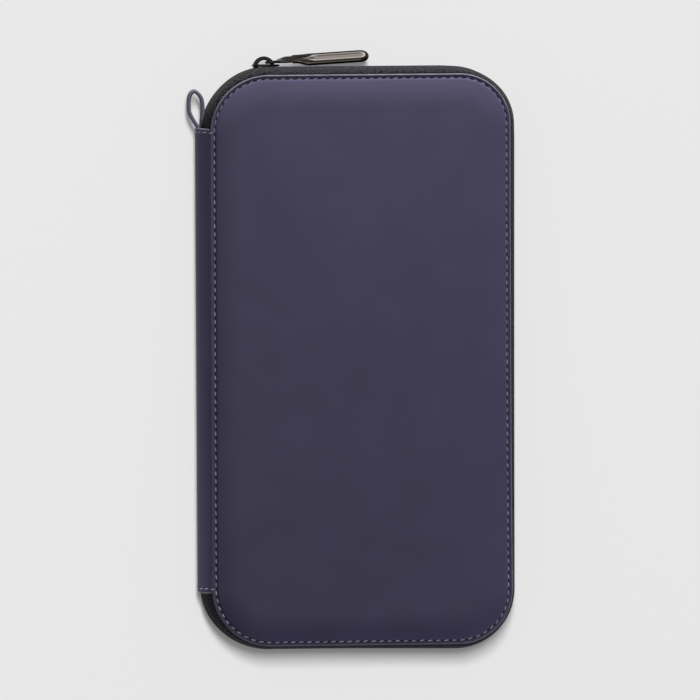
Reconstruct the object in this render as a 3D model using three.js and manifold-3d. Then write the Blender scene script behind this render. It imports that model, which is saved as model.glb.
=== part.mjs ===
// Travel document wallet, zipped shut and lying on its back.
// Millimetres. X runs from the spine to the open side, Y towards the end with the zip puller,
// Z out of the front cover. The back panel rests on Z = 0 with its middle at the origin.

import * as THREE from 'three';
import { mergeVertices } from 'three/addons/utils/BufferGeometryUtils.js';
import Module from 'manifold-3d';

// Covers
const PANEL_WIDTH = 118;
const PANEL_LENGTH = 226;
const PANEL_CORNER = 23;
const THICKNESS = 24;
const CROWN = 2;
const RIM = 2;
const CROWN_RUN = PANEL_CORNER * 0.61;
const LEATHER = 1.4;
const PAD_INSET = 4;
const BOARD = 0.9;
const BOARD_INSET = 7;
const LINING = 0.7;
const LINING_INSET = 1.5;
const GLUE_GAP = 0.1;

// Zip
const TAPE = 0.7;
const TAPE_TUCK = 6;
const ZIP_BULGE = 2.8;
const TAPE_SPLIT = 1.6;
const COIL_GAP = 0.2;
const COIL_DEPTH = 1.5;
const COIL_REACH = 2.6;
const COIL_ROOT = 0.8;
const TOOTH_CROSSING = 0.45;
const TOOTH_PITCH = 3.2;
const TOOTH_WIDTH = 1.0;
const STOP_LENGTH = 2.2;
const STOP_CLEARANCE = 1.2;

// Slider and puller
const SLIDER_SETBACK = 22.6;
const SLIDER_LENGTH = 11;
const SLIDER_MOUTH = 8.4;
const SLIDER_TAIL = 6.5;
const SLIDER_PLATE = 0.7;
const SLIDER_CLEARANCE = 0.2;
const SLIDER_POST = 1.0;
const SLIDER_POST_LENGTH = 2.4;
const SLIDER_FLANGE = 1.2;
const SLIDER_FLANGE_HEIGHT = 1.1;
const BAIL_BAR = 1.2;
const BAIL_WIDTH = 2.0;
const BAIL_RADIUS = 4.35;
const BAIL_SINK = 1.15;
const BAIL_X = -0.75;
const EYE_X = 0.3;
const EYE_BAR = 1.0;
const EYE_CLEARANCE = 0.4;
const EYE_HOLE = 3.2;
const EYE_WALL = 1.1;
const TONGUE_LENGTH = 10.2;
const TONGUE_WIDTH = 3.6;
const TONGUE = 1.0;
const GRIP_LENGTH = 30.5;
const GRIP_WIDTH = 7;
const GRIP = 1.6;
const GRIP_NECK = 2.8;
const GRIP_SHOULDER = 3.4;
const RECESS_LENGTH = 23.5;
const RECESS_WIDTH = 4.6;
const RECESS_CORNER = 2.2;
const RECESS = 0.4;
const PULLER_PITCH = 3.4;
const PULLER_ROLL = 31;
const TWIST_STEPS = 4;

// Spine and loop
const SPINE_SETBACK = 21;
const SPINE_BULGE = 5.2;
const SPINE_WALL = 0.9;
const SPINE_FOLD = 7;
const FOLD_GAP = 0.15;
const SPINE_LINING = 0.6;
const END_GAP = 0.3;
const LOOP_STRIP = 1.4;
const LOOP_STRIP_WIDTH = 4.5;
const LOOP_TAIL = 0.8;
const LOOP_TAIL_LENGTH = 6;
const LOOP_HEIGHT = 15.2;
const LOOP_WIDTH = 6.9;
const LOOP_SWAY = 0.6;
const LOOP_CROTCH = 3;
// The drop's outline, as shares of the loop's width from its right edge and of its height
const LOOP_DROP = [
  [0, 0.58], [0.08, 0.79], [0.29, 0.92], [0.6, 1], [0.86, 0.93], [0.99, 0.78], [1, 0.6], [0.73, 0.28],
];

// Pockets
const POCKET = 0.8;
const POCKET_MARGIN = 6;
const POCKET_CORNER = 12;
const TICKET_POCKET_LENGTH = 176;
const PASSPORT_POCKET_LENGTH = 112;
const SLIP_POCKET_LENGTH = 196;
const CARD_WIDTH = 86;
const CARD_POCKET_EASE = 6;
const CARD_POCKET_DEPTH = 58;
const CARD_STEP = 13;
const CARD_SLOTS = 4;
const CARD_BASE = 34;

// Fineness of the curves
const CORNER_STEPS = 8;
const WALL_STEPS = 6;
const FOLD_STEPS = 4;
const ROUND_STEPS = 6;
const CROWN_SHARES = [0.14, 0.32, 0.58, 1];

// Heights that follow from the sizes above, counted from the middle plane of the wallet
const MIDDLE = THICKNESS / 2;
const RIM_TOP = MIDDLE - CROWN;
const RIM_UNDER = RIM_TOP - LEATHER;
const TUCK_TOP = RIM_UNDER - GLUE_GAP;
const BOARD_UNDER = TUCK_TOP - BOARD;
const LINING_TOP = BOARD_UNDER - GLUE_GAP;
const LINING_UNDER = LINING_TOP - LINING;
const TAPE_MIDDLE = TUCK_TOP - TAPE / 2;
const COIL_TOP = ZIP_BULGE - TAPE - COIL_GAP;
const COIL_UNDER = COIL_TOP - COIL_DEPTH;
const PLATE_UNDER = ZIP_BULGE + SLIDER_CLEARANCE;
const PLATE_TOP = PLATE_UNDER + SLIDER_PLATE;
const EDGE_LEFT = -PANEL_WIDTH / 2;
const EDGE_TOP = PANEL_LENGTH / 2;
const HALF_SPINE = PANEL_LENGTH / 2 - SPINE_SETBACK;
const SLIDER_X = EDGE_LEFT + SLIDER_SETBACK;
const FRONT = 1;
const BACK = -1;

const COLOURS = {
  leather: 0x423f54,
  spine: 0x3b3849,
  foam: 0xb9b4a6,
  board: 0x8a7a63,
  lining: 0x2e2d36,
  tape: 0x2a2a2c,
  coil: 0x1d1d1f,
  metal: 0x5a5a60,
};

const wasm = await Module();
wasm.setup();

// Turning point lists into solids

function solid(positions, triangles) {
  const geometry = new THREE.BufferGeometry();
  geometry.setAttribute('position', new THREE.Float32BufferAttribute(positions, 3));
  geometry.setIndex(triangles);
  return outward(geometry);
}

function outward(geometry) {
  const at = geometry.getAttribute('position');
  const index = geometry.getIndex().array;
  const a = new THREE.Vector3();
  const b = new THREE.Vector3();
  const c = new THREE.Vector3();
  let volume = 0;
  for (let k = 0; k < index.length; k += 3) {
    a.fromBufferAttribute(at, index[k]);
    b.fromBufferAttribute(at, index[k + 1]);
    c.fromBufferAttribute(at, index[k + 2]);
    volume += a.dot(b.cross(c));
  }
  if (volume < 0) {
    for (let k = 0; k < index.length; k += 3) {
      [index[k + 1], index[k + 2]] = [index[k + 2], index[k + 1]];
    }
  }
  return geometry;
}

// A skin through rings of equal length, closed at both ends by the flat caps given as triangle lists.
function skin(rings, cap) {
  const count = rings[0].length;
  const positions = rings.flat(2);
  const triangles = [];
  for (let r = 0; r + 1 < rings.length; r += 1) {
    for (let k = 0; k < count; k += 1) {
      const next = (k + 1) % count;
      const low = r * count;
      const high = low + count;
      triangles.push(low + k, low + next, high + next);
      triangles.push(low + k, high + next, high + k);
    }
  }
  const last = (rings.length - 1) * count;
  for (const [a, b, c] of cap) {
    triangles.push(a, c, b);
    triangles.push(last + a, last + b, last + c);
  }
  return solid(positions, triangles);
}

// Triangles that fill an outline, turning the same way as the outline does.
function capOf(outline) {
  const points = outline.map(([x, y]) => new THREE.Vector2(x, y));
  const triangles = THREE.ShapeUtils.triangulateShape(points, []);
  const turn = THREE.ShapeUtils.isClockWise(points);
  return triangles.map(([a, b, c]) => {
    const same = THREE.ShapeUtils.isClockWise([points[a], points[b], points[c]]) === turn;
    return same ? [a, b, c] : [a, c, b];
  });
}

function toManifold(geometry) {
  const bare = geometry.clone();
  bare.deleteAttribute('normal');
  bare.deleteAttribute('uv');
  const merged = mergeVertices(bare, 1e-4);
  return new wasm.Manifold(new wasm.Mesh({
    numProp: 3,
    vertProperties: new Float32Array(merged.getAttribute('position').array),
    triVerts: new Uint32Array(merged.getIndex().array),
  }));
}

function fromManifold(manifold) {
  const mesh = manifold.getMesh();
  return solid(Array.from(mesh.vertProperties), Array.from(mesh.triVerts));
}

function node(name, geometry, colour, roughness, metalness = 0) {
  const bare = geometry.index ? geometry : mergeVertices(geometry, 1e-4);
  bare.computeVertexNormals();
  const material = new THREE.MeshStandardMaterial({ color: colour, roughness, metalness });
  const mesh = new THREE.Mesh(bare, material);
  mesh.name = name;
  return mesh;
}

// The rounded outline of a cover, drawn in from the panel edge by a given distance, counter-clockwise.
function coverOutline(inset) {
  const radius = PANEL_CORNER - inset;
  const points = [];
  const centres = [[1, 1], [-1, 1], [-1, -1], [1, -1]];
  centres.forEach(([sx, sy], corner) => {
    for (let k = 0; k <= CORNER_STEPS; k += 1) {
      const angle = (corner + k / CORNER_STEPS) * Math.PI / 2;
      const x = sx * (PANEL_WIDTH / 2 - PANEL_CORNER) + radius * Math.cos(angle);
      const y = sy * (PANEL_LENGTH / 2 - PANEL_CORNER) + radius * Math.sin(angle);
      points.push([x, y]);
    }
  });
  return points;
}

function level(side, height) {
  return MIDDLE + side * height;
}

function ring(inset, side, height) {
  return coverOutline(inset).map(([x, y]) => [x, y, level(side, height)]);
}

function roundedShape(x0, y0, x1, y1, radius) {
  const shape = new THREE.Shape();
  shape.moveTo(x0 + radius, y0);
  shape.lineTo(x1 - radius, y0);
  shape.absarc(x1 - radius, y0 + radius, radius, -Math.PI / 2, 0, false);
  shape.lineTo(x1, y1 - radius);
  shape.absarc(x1 - radius, y1 - radius, radius, 0, Math.PI / 2, false);
  shape.lineTo(x0 + radius, y1);
  shape.absarc(x0 + radius, y1 - radius, radius, Math.PI / 2, Math.PI, false);
  shape.lineTo(x0, y0 + radius);
  shape.absarc(x0 + radius, y0 + radius, radius, Math.PI, Math.PI * 1.5, false);
  return shape;
}

function slab(shape, low, high) {
  const options = { depth: high - low, bevelEnabled: false, curveSegments: ROUND_STEPS };
  const geometry = new THREE.ExtrudeGeometry(shape, options);
  geometry.translate(0, 0, low);
  return geometry;
}

function outlineShape(points) {
  return new THREE.Shape(points.map(([x, y]) => new THREE.Vector2(x, y)));
}

// Leather, padding, board and lining of one cover

function crownAt(inset) {
  const run = Math.min(Math.max(inset - RIM, 0) / CROWN_RUN, 1);
  return CROWN * (1 - (1 - run) ** 2);
}

const CROWN_INSETS = CROWN_SHARES.map((share) => RIM + share * CROWN_RUN);

function leatherPanel(side) {
  const insets = [0, RIM, ...CROWN_INSETS];
  const over = insets.map((inset) => ring(inset, side, RIM_TOP + crownAt(inset)));
  const under = insets.map((inset) => ring(inset, side, RIM_UNDER + crownAt(inset)));
  return skin([...under.reverse(), ...over], capOf(coverOutline(RIM + CROWN_RUN)));
}

function foamPad(side) {
  const insets = [PAD_INSET, ...CROWN_INSETS.filter((inset) => inset > PAD_INSET)];
  const under = ring(PAD_INSET, side, RIM_UNDER);
  const over = insets.map((inset) => ring(inset, side, TUCK_TOP + crownAt(inset)));
  const flat = insets.map((inset) => ring(inset, side, RIM_UNDER)).reverse();
  return skin([...flat.slice(0, -1), under, ...over], capOf(coverOutline(RIM + CROWN_RUN)));
}

function coverPlate(inset, side, low, high) {
  const [from, to] = [level(side, low), level(side, high)].sort((a, b) => a - b);
  return slab(outlineShape(coverOutline(inset)), from, to);
}

// The way round the panel edge that the zip follows, from the spine's upper end clockwise to its lower end.
// Its two ends lie a little way round the spine's corners and are cut square to the spine.

function zipPath() {
  const points = [];
  const straightX = PANEL_WIDTH / 2 - PANEL_CORNER;
  const straightY = PANEL_LENGTH / 2 - PANEL_CORNER;
  const lead = Math.asin((HALF_SPINE + END_GAP - straightY) / PANEL_CORNER);
  const turn = Math.PI / 2;
  const corners = [[-1, 1, lead, 0], [1, 1, 0, 0], [1, -1, 0, 0], [-1, -1, 0, lead]];
  corners.forEach(([sx, sy, late, early], corner) => {
    const from = Math.PI - corner * turn - late;
    const to = Math.PI - (corner + 1) * turn + early;
    for (let k = 0; k <= CORNER_STEPS; k += 1) {
      const angle = from + (to - from) * k / CORNER_STEPS;
      const [nx, ny] = [Math.cos(angle), Math.sin(angle)];
      points.push({ x: sx * straightX + PANEL_CORNER * nx, y: sy * straightY + PANEL_CORNER * ny, nx, ny });
    }
  });
  for (const end of [points[0], points[points.length - 1]]) {
    end.nx = -1;
    end.ny = 0;
  }
  return points;
}

const PATH = zipPath();

const DISTANCE = PATH.reduce((list, point, k) => {
  if (k === 0) {
    return [0];
  }
  const before = PATH[k - 1];
  return [...list, list[k - 1] + Math.hypot(point.x - before.x, point.y - before.y)];
}, []);

const PATH_LENGTH = DISTANCE[DISTANCE.length - 1];

// A point and outward direction at a distance along the way round.
function along(distance) {
  let k = DISTANCE.findIndex((d) => d >= distance);
  k = Math.max(k, 1);
  const share = (distance - DISTANCE[k - 1]) / (DISTANCE[k] - DISTANCE[k - 1]);
  const a = PATH[k - 1];
  const b = PATH[k];
  const mix = (p, q) => p + (q - p) * share;
  return { x: mix(a.x, b.x), y: mix(a.y, b.y), nx: mix(a.nx, b.nx), ny: mix(a.ny, b.ny) };
}

function place(station, out, height, side) {
  return [station.x + station.nx * out, station.y + station.ny * out, level(side, height)];
}

function swept(stations, profile, side) {
  const ringAt = (station) => profile.map(([out, height]) => place(station, out, height, side));
  return skin(stations.map(ringAt), capOf(profile));
}

// The tape's cross-section: tucked under the leather rim, then bowed out to the middle of the edge.
function tapeProfile() {
  const bow = ZIP_BULGE - TAPE / 2;
  const rise = TAPE_MIDDLE - TAPE_SPLIT / 2;
  const outer = [[-TAPE_TUCK, TUCK_TOP]];
  const inner = [[-TAPE_TUCK, TUCK_TOP - TAPE]];
  for (let k = 0; k <= WALL_STEPS; k += 1) {
    const angle = (k / WALL_STEPS) * Math.PI / 2;
    const out = bow * Math.sin(angle);
    const height = TAPE_SPLIT / 2 + rise * Math.cos(angle);
    const slope = Math.hypot(rise * Math.sin(angle), bow * Math.cos(angle));
    const nOut = rise * Math.sin(angle) / slope;
    const nUp = bow * Math.cos(angle) / slope;
    outer.push([out + nOut * TAPE / 2, height + nUp * TAPE / 2]);
    inner.push([out - nOut * TAPE / 2, height - nUp * TAPE / 2]);
  }
  return [...outer, ...inner.reverse()];
}

// One row of coil teeth as a comb bent along the way round, with its heads past the middle
const CHAIN_START = DISTANCE[CORNER_STEPS] + SLIDER_X + PANEL_WIDTH / 2 - PANEL_CORNER;
const CHAIN_END = PATH_LENGTH - STOP_LENGTH - STOP_CLEARANCE;

function coilRow(side) {
  const shift = side === FRONT ? 0 : TOOTH_PITCH / 2;
  const count = Math.floor((CHAIN_END - CHAIN_START - TOOTH_PITCH / 2 - TOOTH_WIDTH) / TOOTH_PITCH);
  const positions = [];
  const triangles = [];
  const outs = [COIL_UNDER, COIL_TOP];
  const add = (station, height) => {
    outs.forEach((out) => positions.push(...place(station, out, height, side)));
  };
  // Each tooth has five columns of points: back, root start, head start, head end, root end.
  const BACK_EDGE = 0;
  const ROOT_IN = 2;
  const HEAD_IN = 4;
  const HEAD_OUT = 6;
  const ROOT_OUT = 8;
  const COLUMN = 10;
  for (let k = 0; k < count; k += 1) {
    const start = CHAIN_START + shift + k * TOOTH_PITCH;
    const first = along(start);
    const last = along(start + TOOTH_WIDTH);
    add(first, COIL_REACH);
    add(first, COIL_ROOT);
    add(first, -TOOTH_CROSSING);
    add(last, -TOOTH_CROSSING);
    add(last, COIL_ROOT);
  }
  const end = along(CHAIN_START + shift + (count - 1) * TOOTH_PITCH + TOOTH_WIDTH);
  add(end, COIL_REACH);
  const quad = (a, b, c, d) => triangles.push(a, b, c, a, c, d);
  for (let k = 0; k < count; k += 1) {
    const at = k * COLUMN;
    const next = at + COLUMN;
    const lastTooth = k === count - 1;
    quad(at + ROOT_IN, at + HEAD_IN, at + HEAD_IN + 1, at + ROOT_IN + 1);
    quad(at + HEAD_IN, at + HEAD_OUT, at + HEAD_OUT + 1, at + HEAD_IN + 1);
    quad(at + HEAD_OUT, at + ROOT_OUT, at + ROOT_OUT + 1, at + HEAD_OUT + 1);
    quad(at + ROOT_IN + 1, at + HEAD_IN + 1, at + HEAD_OUT + 1, at + ROOT_OUT + 1);
    quad(at + ROOT_OUT, at + HEAD_OUT, at + HEAD_IN, at + ROOT_IN);
    quad(next + BACK_EDGE, at + BACK_EDGE, at + BACK_EDGE + 1, next + BACK_EDGE + 1);
    triangles.push(at + BACK_EDGE + 1, at + ROOT_IN + 1, at + ROOT_OUT + 1);
    triangles.push(at + BACK_EDGE, at + ROOT_OUT, at + ROOT_IN);
    triangles.push(at + BACK_EDGE + 1, at + ROOT_OUT + 1, next + BACK_EDGE + 1);
    triangles.push(at + BACK_EDGE, next + BACK_EDGE, at + ROOT_OUT);
    if (lastTooth) {
      quad(at + ROOT_OUT, next, next + 1, at + ROOT_OUT + 1);
    } else {
      quad(at + ROOT_OUT, next + ROOT_IN, next + ROOT_IN + 1, at + ROOT_OUT + 1);
      triangles.push(at + ROOT_OUT + 1, next + ROOT_IN + 1, next + BACK_EDGE + 1);
      triangles.push(at + ROOT_OUT, next + BACK_EDGE, next + ROOT_IN);
    }
  }
  quad(BACK_EDGE, ROOT_IN, ROOT_IN + 1, BACK_EDGE + 1);
  return solid(positions, triangles);
}

function zipStop(from, side, crossing) {
  const stations = [0, 0.5, 1].map((share) => along(from + share * STOP_LENGTH));
  const profile = [
    [COIL_UNDER, -crossing],
    [COIL_TOP, -crossing],
    [COIL_TOP, COIL_REACH],
    [COIL_UNDER, COIL_REACH],
  ];
  return swept(stations, profile, side);
}

// Slider: two plates joined by a post at the mouth, with flanges on the lower plate; then its bail

function facingOut(geometry) {
  return geometry.rotateX(-Math.PI / 2).translate(0, EDGE_TOP, MIDDLE);
}

function sliderPlate(low, high) {
  const half = SLIDER_LENGTH / 2;
  const shape = new THREE.Shape();
  const mouth = SLIDER_MOUTH / 2;
  const tail = SLIDER_TAIL / 2;
  shape.moveTo(-half, -tail);
  shape.quadraticCurveTo(-half, -mouth, 0, -mouth);
  shape.quadraticCurveTo(half, -tail, half, 0);
  shape.quadraticCurveTo(half, tail, 0, mouth);
  shape.quadraticCurveTo(-half, mouth, -half, tail);
  shape.closePath();
  return facingOut(slab(shape, low, high)).translate(SLIDER_X, 0, 0);
}

function block(x, out, height, sizeX, sizeOut, sizeZ) {
  const geometry = new THREE.BoxGeometry(sizeX, sizeOut, sizeZ);
  return geometry.translate(SLIDER_X + x, EDGE_TOP + out, MIDDLE + height);
}

function sliderBody() {
  const lowTop = COIL_UNDER - SLIDER_CLEARANCE;
  const lowUnder = lowTop - SLIDER_PLATE;
  const postX = -SLIDER_LENGTH / 2 + SLIDER_POST_LENGTH / 2 + SLIDER_CLEARANCE;
  const postOut = PLATE_TOP - lowUnder - SLIDER_PLATE;
  const flangeLength = SLIDER_LENGTH / 2;
  const flangeZ = COIL_REACH + SLIDER_CLEARANCE + SLIDER_FLANGE / 2;
  const flangeOut = SLIDER_FLANGE_HEIGHT + SLIDER_PLATE / 2;
  let body = toManifold(sliderPlate(PLATE_UNDER, PLATE_TOP)).add(toManifold(sliderPlate(lowUnder, lowTop)));
  const post = block(postX, (PLATE_TOP + lowUnder) / 2, 0, SLIDER_POST_LENGTH, postOut, SLIDER_POST);
  body = body.add(toManifold(post));
  for (const side of [FRONT, BACK]) {
    const rail = block(0, lowTop - SLIDER_PLATE / 2 + flangeOut / 2, side * flangeZ,
      flangeLength, flangeOut, SLIDER_FLANGE);
    body = body.add(toManifold(rail));
  }
  return fromManifold(body);
}

function bailArch() {
  const centre = PLATE_TOP - BAIL_SINK;
  const foot = BAIL_SINK + GLUE_GAP;
  const inner = BAIL_RADIUS - BAIL_BAR;
  const shape = new THREE.Shape();
  const outerFoot = Math.asin(foot / BAIL_RADIUS);
  const innerFoot = Math.asin(foot / inner);
  shape.absarc(0, 0, BAIL_RADIUS, outerFoot, Math.PI - outerFoot, false);
  shape.absarc(0, 0, inner, Math.PI - innerFoot, innerFoot, true);
  shape.closePath();
  const options = { depth: BAIL_WIDTH, bevelEnabled: false, curveSegments: ROUND_STEPS * 2 };
  const geometry = new THREE.ExtrudeGeometry(shape, options);
  return geometry.translate(SLIDER_X + BAIL_X, EDGE_TOP + centre, MIDDLE - BAIL_WIDTH / 2);
}

// Puller, drawn along X from the middle of the eye's end bar and then laid at its resting angle;
// its tongue twists from the level eye to the leaning grip

const EYE_OUT = PLATE_TOP + GLUE_GAP + Math.hypot(EYE_BAR, TONGUE) / 2;

function settle(geometry, roll) {
  geometry.rotateX(THREE.MathUtils.degToRad(roll) - Math.PI / 2);
  geometry.rotateZ(THREE.MathUtils.degToRad(PULLER_PITCH));
  return geometry.translate(SLIDER_X + EYE_X, EDGE_TOP + EYE_OUT, MIDDLE);
}

function twistedBar(from, to) {
  const geometry = new THREE.BoxGeometry(to - from, TONGUE_WIDTH, TONGUE, TWIST_STEPS, 1, 1);
  geometry.translate((from + to) / 2, 0, 0);
  const place = geometry.attributes.position;
  const axis = new THREE.Vector3(1, 0, 0);
  for (let k = 0; k < place.count; k += 1) {
    const point = new THREE.Vector3().fromBufferAttribute(place, k);
    const share = (point.x - from) / (to - from);
    point.applyAxisAngle(axis, THREE.MathUtils.degToRad(PULLER_ROLL) * share);
    place.setXYZ(k, point.x, point.y, point.z);
  }
  return geometry;
}

function pullerTongue() {
  const eyeHalf = BAIL_WIDTH / 2 + EYE_CLEARANCE;
  const outerHalf = eyeHalf + EYE_WALL;
  const holeEnd = EYE_BAR / 2 + EYE_HOLE;
  const eyeEnd = holeEnd + EYE_WALL;
  const neck = eyeEnd + outerHalf - TONGUE_WIDTH / 2;
  const half = TONGUE_WIDTH / 2;
  const shape = new THREE.Shape();
  shape.moveTo(-EYE_BAR / 2, -outerHalf + EYE_BAR / 2);
  shape.lineTo(0, -outerHalf);
  shape.lineTo(holeEnd, -outerHalf);
  shape.quadraticCurveTo(eyeEnd, -half, neck, -half);
  shape.lineTo(neck, half);
  shape.quadraticCurveTo(eyeEnd, half, holeEnd, outerHalf);
  shape.lineTo(0, outerHalf);
  shape.lineTo(-EYE_BAR / 2, outerHalf - EYE_BAR / 2);
  shape.closePath();
  const hole = new THREE.Path();
  hole.moveTo(EYE_BAR / 2, -eyeHalf);
  hole.lineTo(EYE_BAR / 2, eyeHalf);
  hole.lineTo(holeEnd - eyeHalf / 2, eyeHalf);
  hole.quadraticCurveTo(holeEnd, eyeHalf, holeEnd, 0);
  hole.quadraticCurveTo(holeEnd, -eyeHalf, holeEnd - eyeHalf / 2, -eyeHalf);
  hole.closePath();
  shape.holes.push(hole);
  const eye = toManifold(slab(shape, -TONGUE / 2, TONGUE / 2));
  const bar = toManifold(twistedBar(eyeEnd, TONGUE_LENGTH - GLUE_GAP));
  return settle(fromManifold(eye.add(bar)), 0);
}

function pullerGrip() {
  const half = GRIP_WIDTH / 2;
  const neck = TONGUE_WIDTH / 2;
  const start = TONGUE_LENGTH;
  const end = start + GRIP_LENGTH;
  const shoulder = start + GRIP_NECK;
  const wide = shoulder + GRIP_SHOULDER;
  const shape = new THREE.Shape();
  shape.moveTo(start, -neck);
  shape.lineTo(shoulder, -neck);
  shape.lineTo(wide, -half);
  shape.lineTo(end - half, -half);
  shape.absarc(end - half, 0, half, -Math.PI / 2, Math.PI / 2, false);
  shape.lineTo(wide, half);
  shape.lineTo(shoulder, neck);
  shape.lineTo(start, neck);
  shape.closePath();
  let grip = toManifold(slab(shape, -GRIP / 2, GRIP / 2));
  const from = end - (GRIP_WIDTH - RECESS_WIDTH) / 2 - RECESS_LENGTH;
  const reach = RECESS_WIDTH / 2;
  for (const side of [FRONT, BACK]) {
    const well = roundedShape(from, -reach, from + RECESS_LENGTH, reach, RECESS_CORNER);
    const floor = side * (GRIP / 2 - RECESS);
    const above = side * GRIP;
    grip = grip.subtract(toManifold(slab(well, Math.min(floor, above), Math.max(floor, above))));
  }
  return settle(fromManifold(grip), PULLER_ROLL);
}

// Spine strip in three stretches that fold against each other on its outer face

const SPINE_INNER = SPINE_BULGE - SPINE_WALL;
const FOLD_ANGLE = Math.acos(SPINE_FOLD / TUCK_TOP);
const FOLD_OPENING = FOLD_GAP / TUCK_TOP;

function spineArc(bulge, rise, from, to, steps) {
  const points = [];
  for (let k = 0; k <= steps; k += 1) {
    const angle = from + (to - from) * k / steps;
    points.push([EDGE_LEFT - bulge * Math.sin(angle), MIDDLE + rise * Math.cos(angle)]);
  }
  return points;
}

function alongSpine(profile, halfLength) {
  const options = { depth: halfLength * 2, bevelEnabled: false };
  const geometry = new THREE.ExtrudeGeometry(outlineShape(profile), options);
  return outward(mergeVertices(geometry.rotateX(Math.PI / 2).translate(0, halfLength, 0), 1e-4));
}

function spineWing(side) {
  const end = FOLD_ANGLE - FOLD_OPENING;
  const outer = spineArc(SPINE_BULGE, TUCK_TOP, 0, end, FOLD_STEPS);
  const inner = spineArc(SPINE_INNER, TUCK_TOP - SPINE_WALL, 0, end, FOLD_STEPS);
  const tuck = EDGE_LEFT + TAPE_TUCK;
  const profile = [
    [tuck, MIDDLE + TUCK_TOP],
    ...outer,
    ...inner.reverse(),
    [tuck, MIDDLE + TUCK_TOP - SPINE_WALL],
  ].map(([x, z]) => [x, level(side, z - MIDDLE)]);
  return alongSpine(profile, HALF_SPINE);
}

function spineMiddle() {
  const from = FOLD_ANGLE + FOLD_OPENING;
  const outer = spineArc(SPINE_BULGE, TUCK_TOP, from, Math.PI - from, WALL_STEPS * 2);
  const inner = spineArc(SPINE_INNER, TUCK_TOP - SPINE_WALL, from, Math.PI - from, WALL_STEPS * 2);
  return alongSpine([...outer, ...inner.reverse()], HALF_SPINE);
}

function spineLining() {
  const from = FOLD_ANGLE + FOLD_OPENING;
  const outerBulge = SPINE_INNER - GLUE_GAP;
  const outerRise = TUCK_TOP - SPINE_WALL - GLUE_GAP;
  const innerBulge = outerBulge - SPINE_LINING;
  const innerRise = outerRise - SPINE_LINING;
  const outer = spineArc(outerBulge, outerRise, from, Math.PI - from, WALL_STEPS * 2);
  const inner = spineArc(innerBulge, innerRise, from, Math.PI - from, WALL_STEPS * 2);
  return alongSpine([...outer, ...inner.reverse()], HALF_SPINE - LOOP_TAIL_LENGTH - END_GAP);
}

// Wrist-strap loop: a narrow strip bent to a drop, its joined tails held inside the spine's upper end

const LOOP_TAIL_RIGHT = EDGE_LEFT - ZIP_BULGE - END_GAP;
const LOOP_TAIL_LEFT = LOOP_TAIL_RIGHT - LOOP_TAIL;

// The drop drawn in from its outside, standing on a foot above the spine's end.
function drop(inset, foot) {
  const right = LOOP_TAIL_RIGHT + LOOP_SWAY - inset;
  const width = LOOP_WIDTH - 2 * inset;
  const height = LOOP_HEIGHT - inset - foot;
  return LOOP_DROP.map(([across, up]) => [right - across * width, HALF_SPINE + foot + up * height]);
}

function smoothLine(points, closed, steps) {
  const through = points.map(([x, y]) => new THREE.Vector3(x, y, 0));
  return new THREE.CatmullRomCurve3(through, closed, 'centripetal').getPoints(steps);
}

function strapLoop() {
  const outer = [[LOOP_TAIL_RIGHT, HALF_SPINE], ...drop(0, 0), [LOOP_TAIL_LEFT, HALF_SPINE]];
  const crotch = [LOOP_TAIL_RIGHT - LOOP_STRIP, HALF_SPINE + LOOP_CROTCH];
  const inner = [crotch, ...drop(LOOP_STRIP, LOOP_CROTCH)];
  const tailEnd = HALF_SPINE - LOOP_TAIL_LENGTH;
  const shape = new THREE.Shape();
  shape.moveTo(LOOP_TAIL_LEFT, tailEnd);
  shape.lineTo(LOOP_TAIL_RIGHT, tailEnd);
  smoothLine(outer, false, ROUND_STEPS * 5).forEach((p) => shape.lineTo(p.x, p.y));
  shape.closePath();
  const hole = smoothLine(inner, true, ROUND_STEPS * 4).slice(0, -1);
  shape.holes.push(new THREE.Path(hole.map((p) => new THREE.Vector2(p.x, p.y))));
  return slab(shape, MIDDLE - LOOP_STRIP_WIDTH / 2, MIDDLE + LOOP_STRIP_WIDTH / 2);
}

// Pockets, flat on the linings and stacked towards the middle of the wallet

function pocket(length, layer, side) {
  const high = LINING_UNDER - GLUE_GAP - layer * (POCKET + GLUE_GAP);
  const low = high - POCKET;
  const halfWidth = PANEL_WIDTH / 2 - POCKET_MARGIN;
  const foot = -PANEL_LENGTH / 2 + POCKET_MARGIN;
  const shape = roundedShape(-halfWidth, foot, halfWidth, foot + length, POCKET_CORNER);
  const [from, to] = [level(side, low), level(side, high)].sort((a, b) => a - b);
  return slab(shape, from, to);
}

function cardSlot(order) {
  const high = LINING_UNDER - GLUE_GAP - (order + 1) * (POCKET + GLUE_GAP);
  const halfWidth = (CARD_WIDTH + CARD_POCKET_EASE) / 2;
  const foot = -PANEL_LENGTH / 2 + CARD_BASE;
  const head = foot + CARD_POCKET_DEPTH + (CARD_SLOTS - 1 - order) * CARD_STEP;
  const shape = roundedShape(-halfWidth, foot, halfWidth, head, POCKET_CORNER / 4);
  return slab(shape, level(FRONT, high - POCKET), level(FRONT, high));
}

// Putting the wallet together

const wallet = new THREE.Group();
wallet.name = 'travel_document_wallet';

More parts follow.
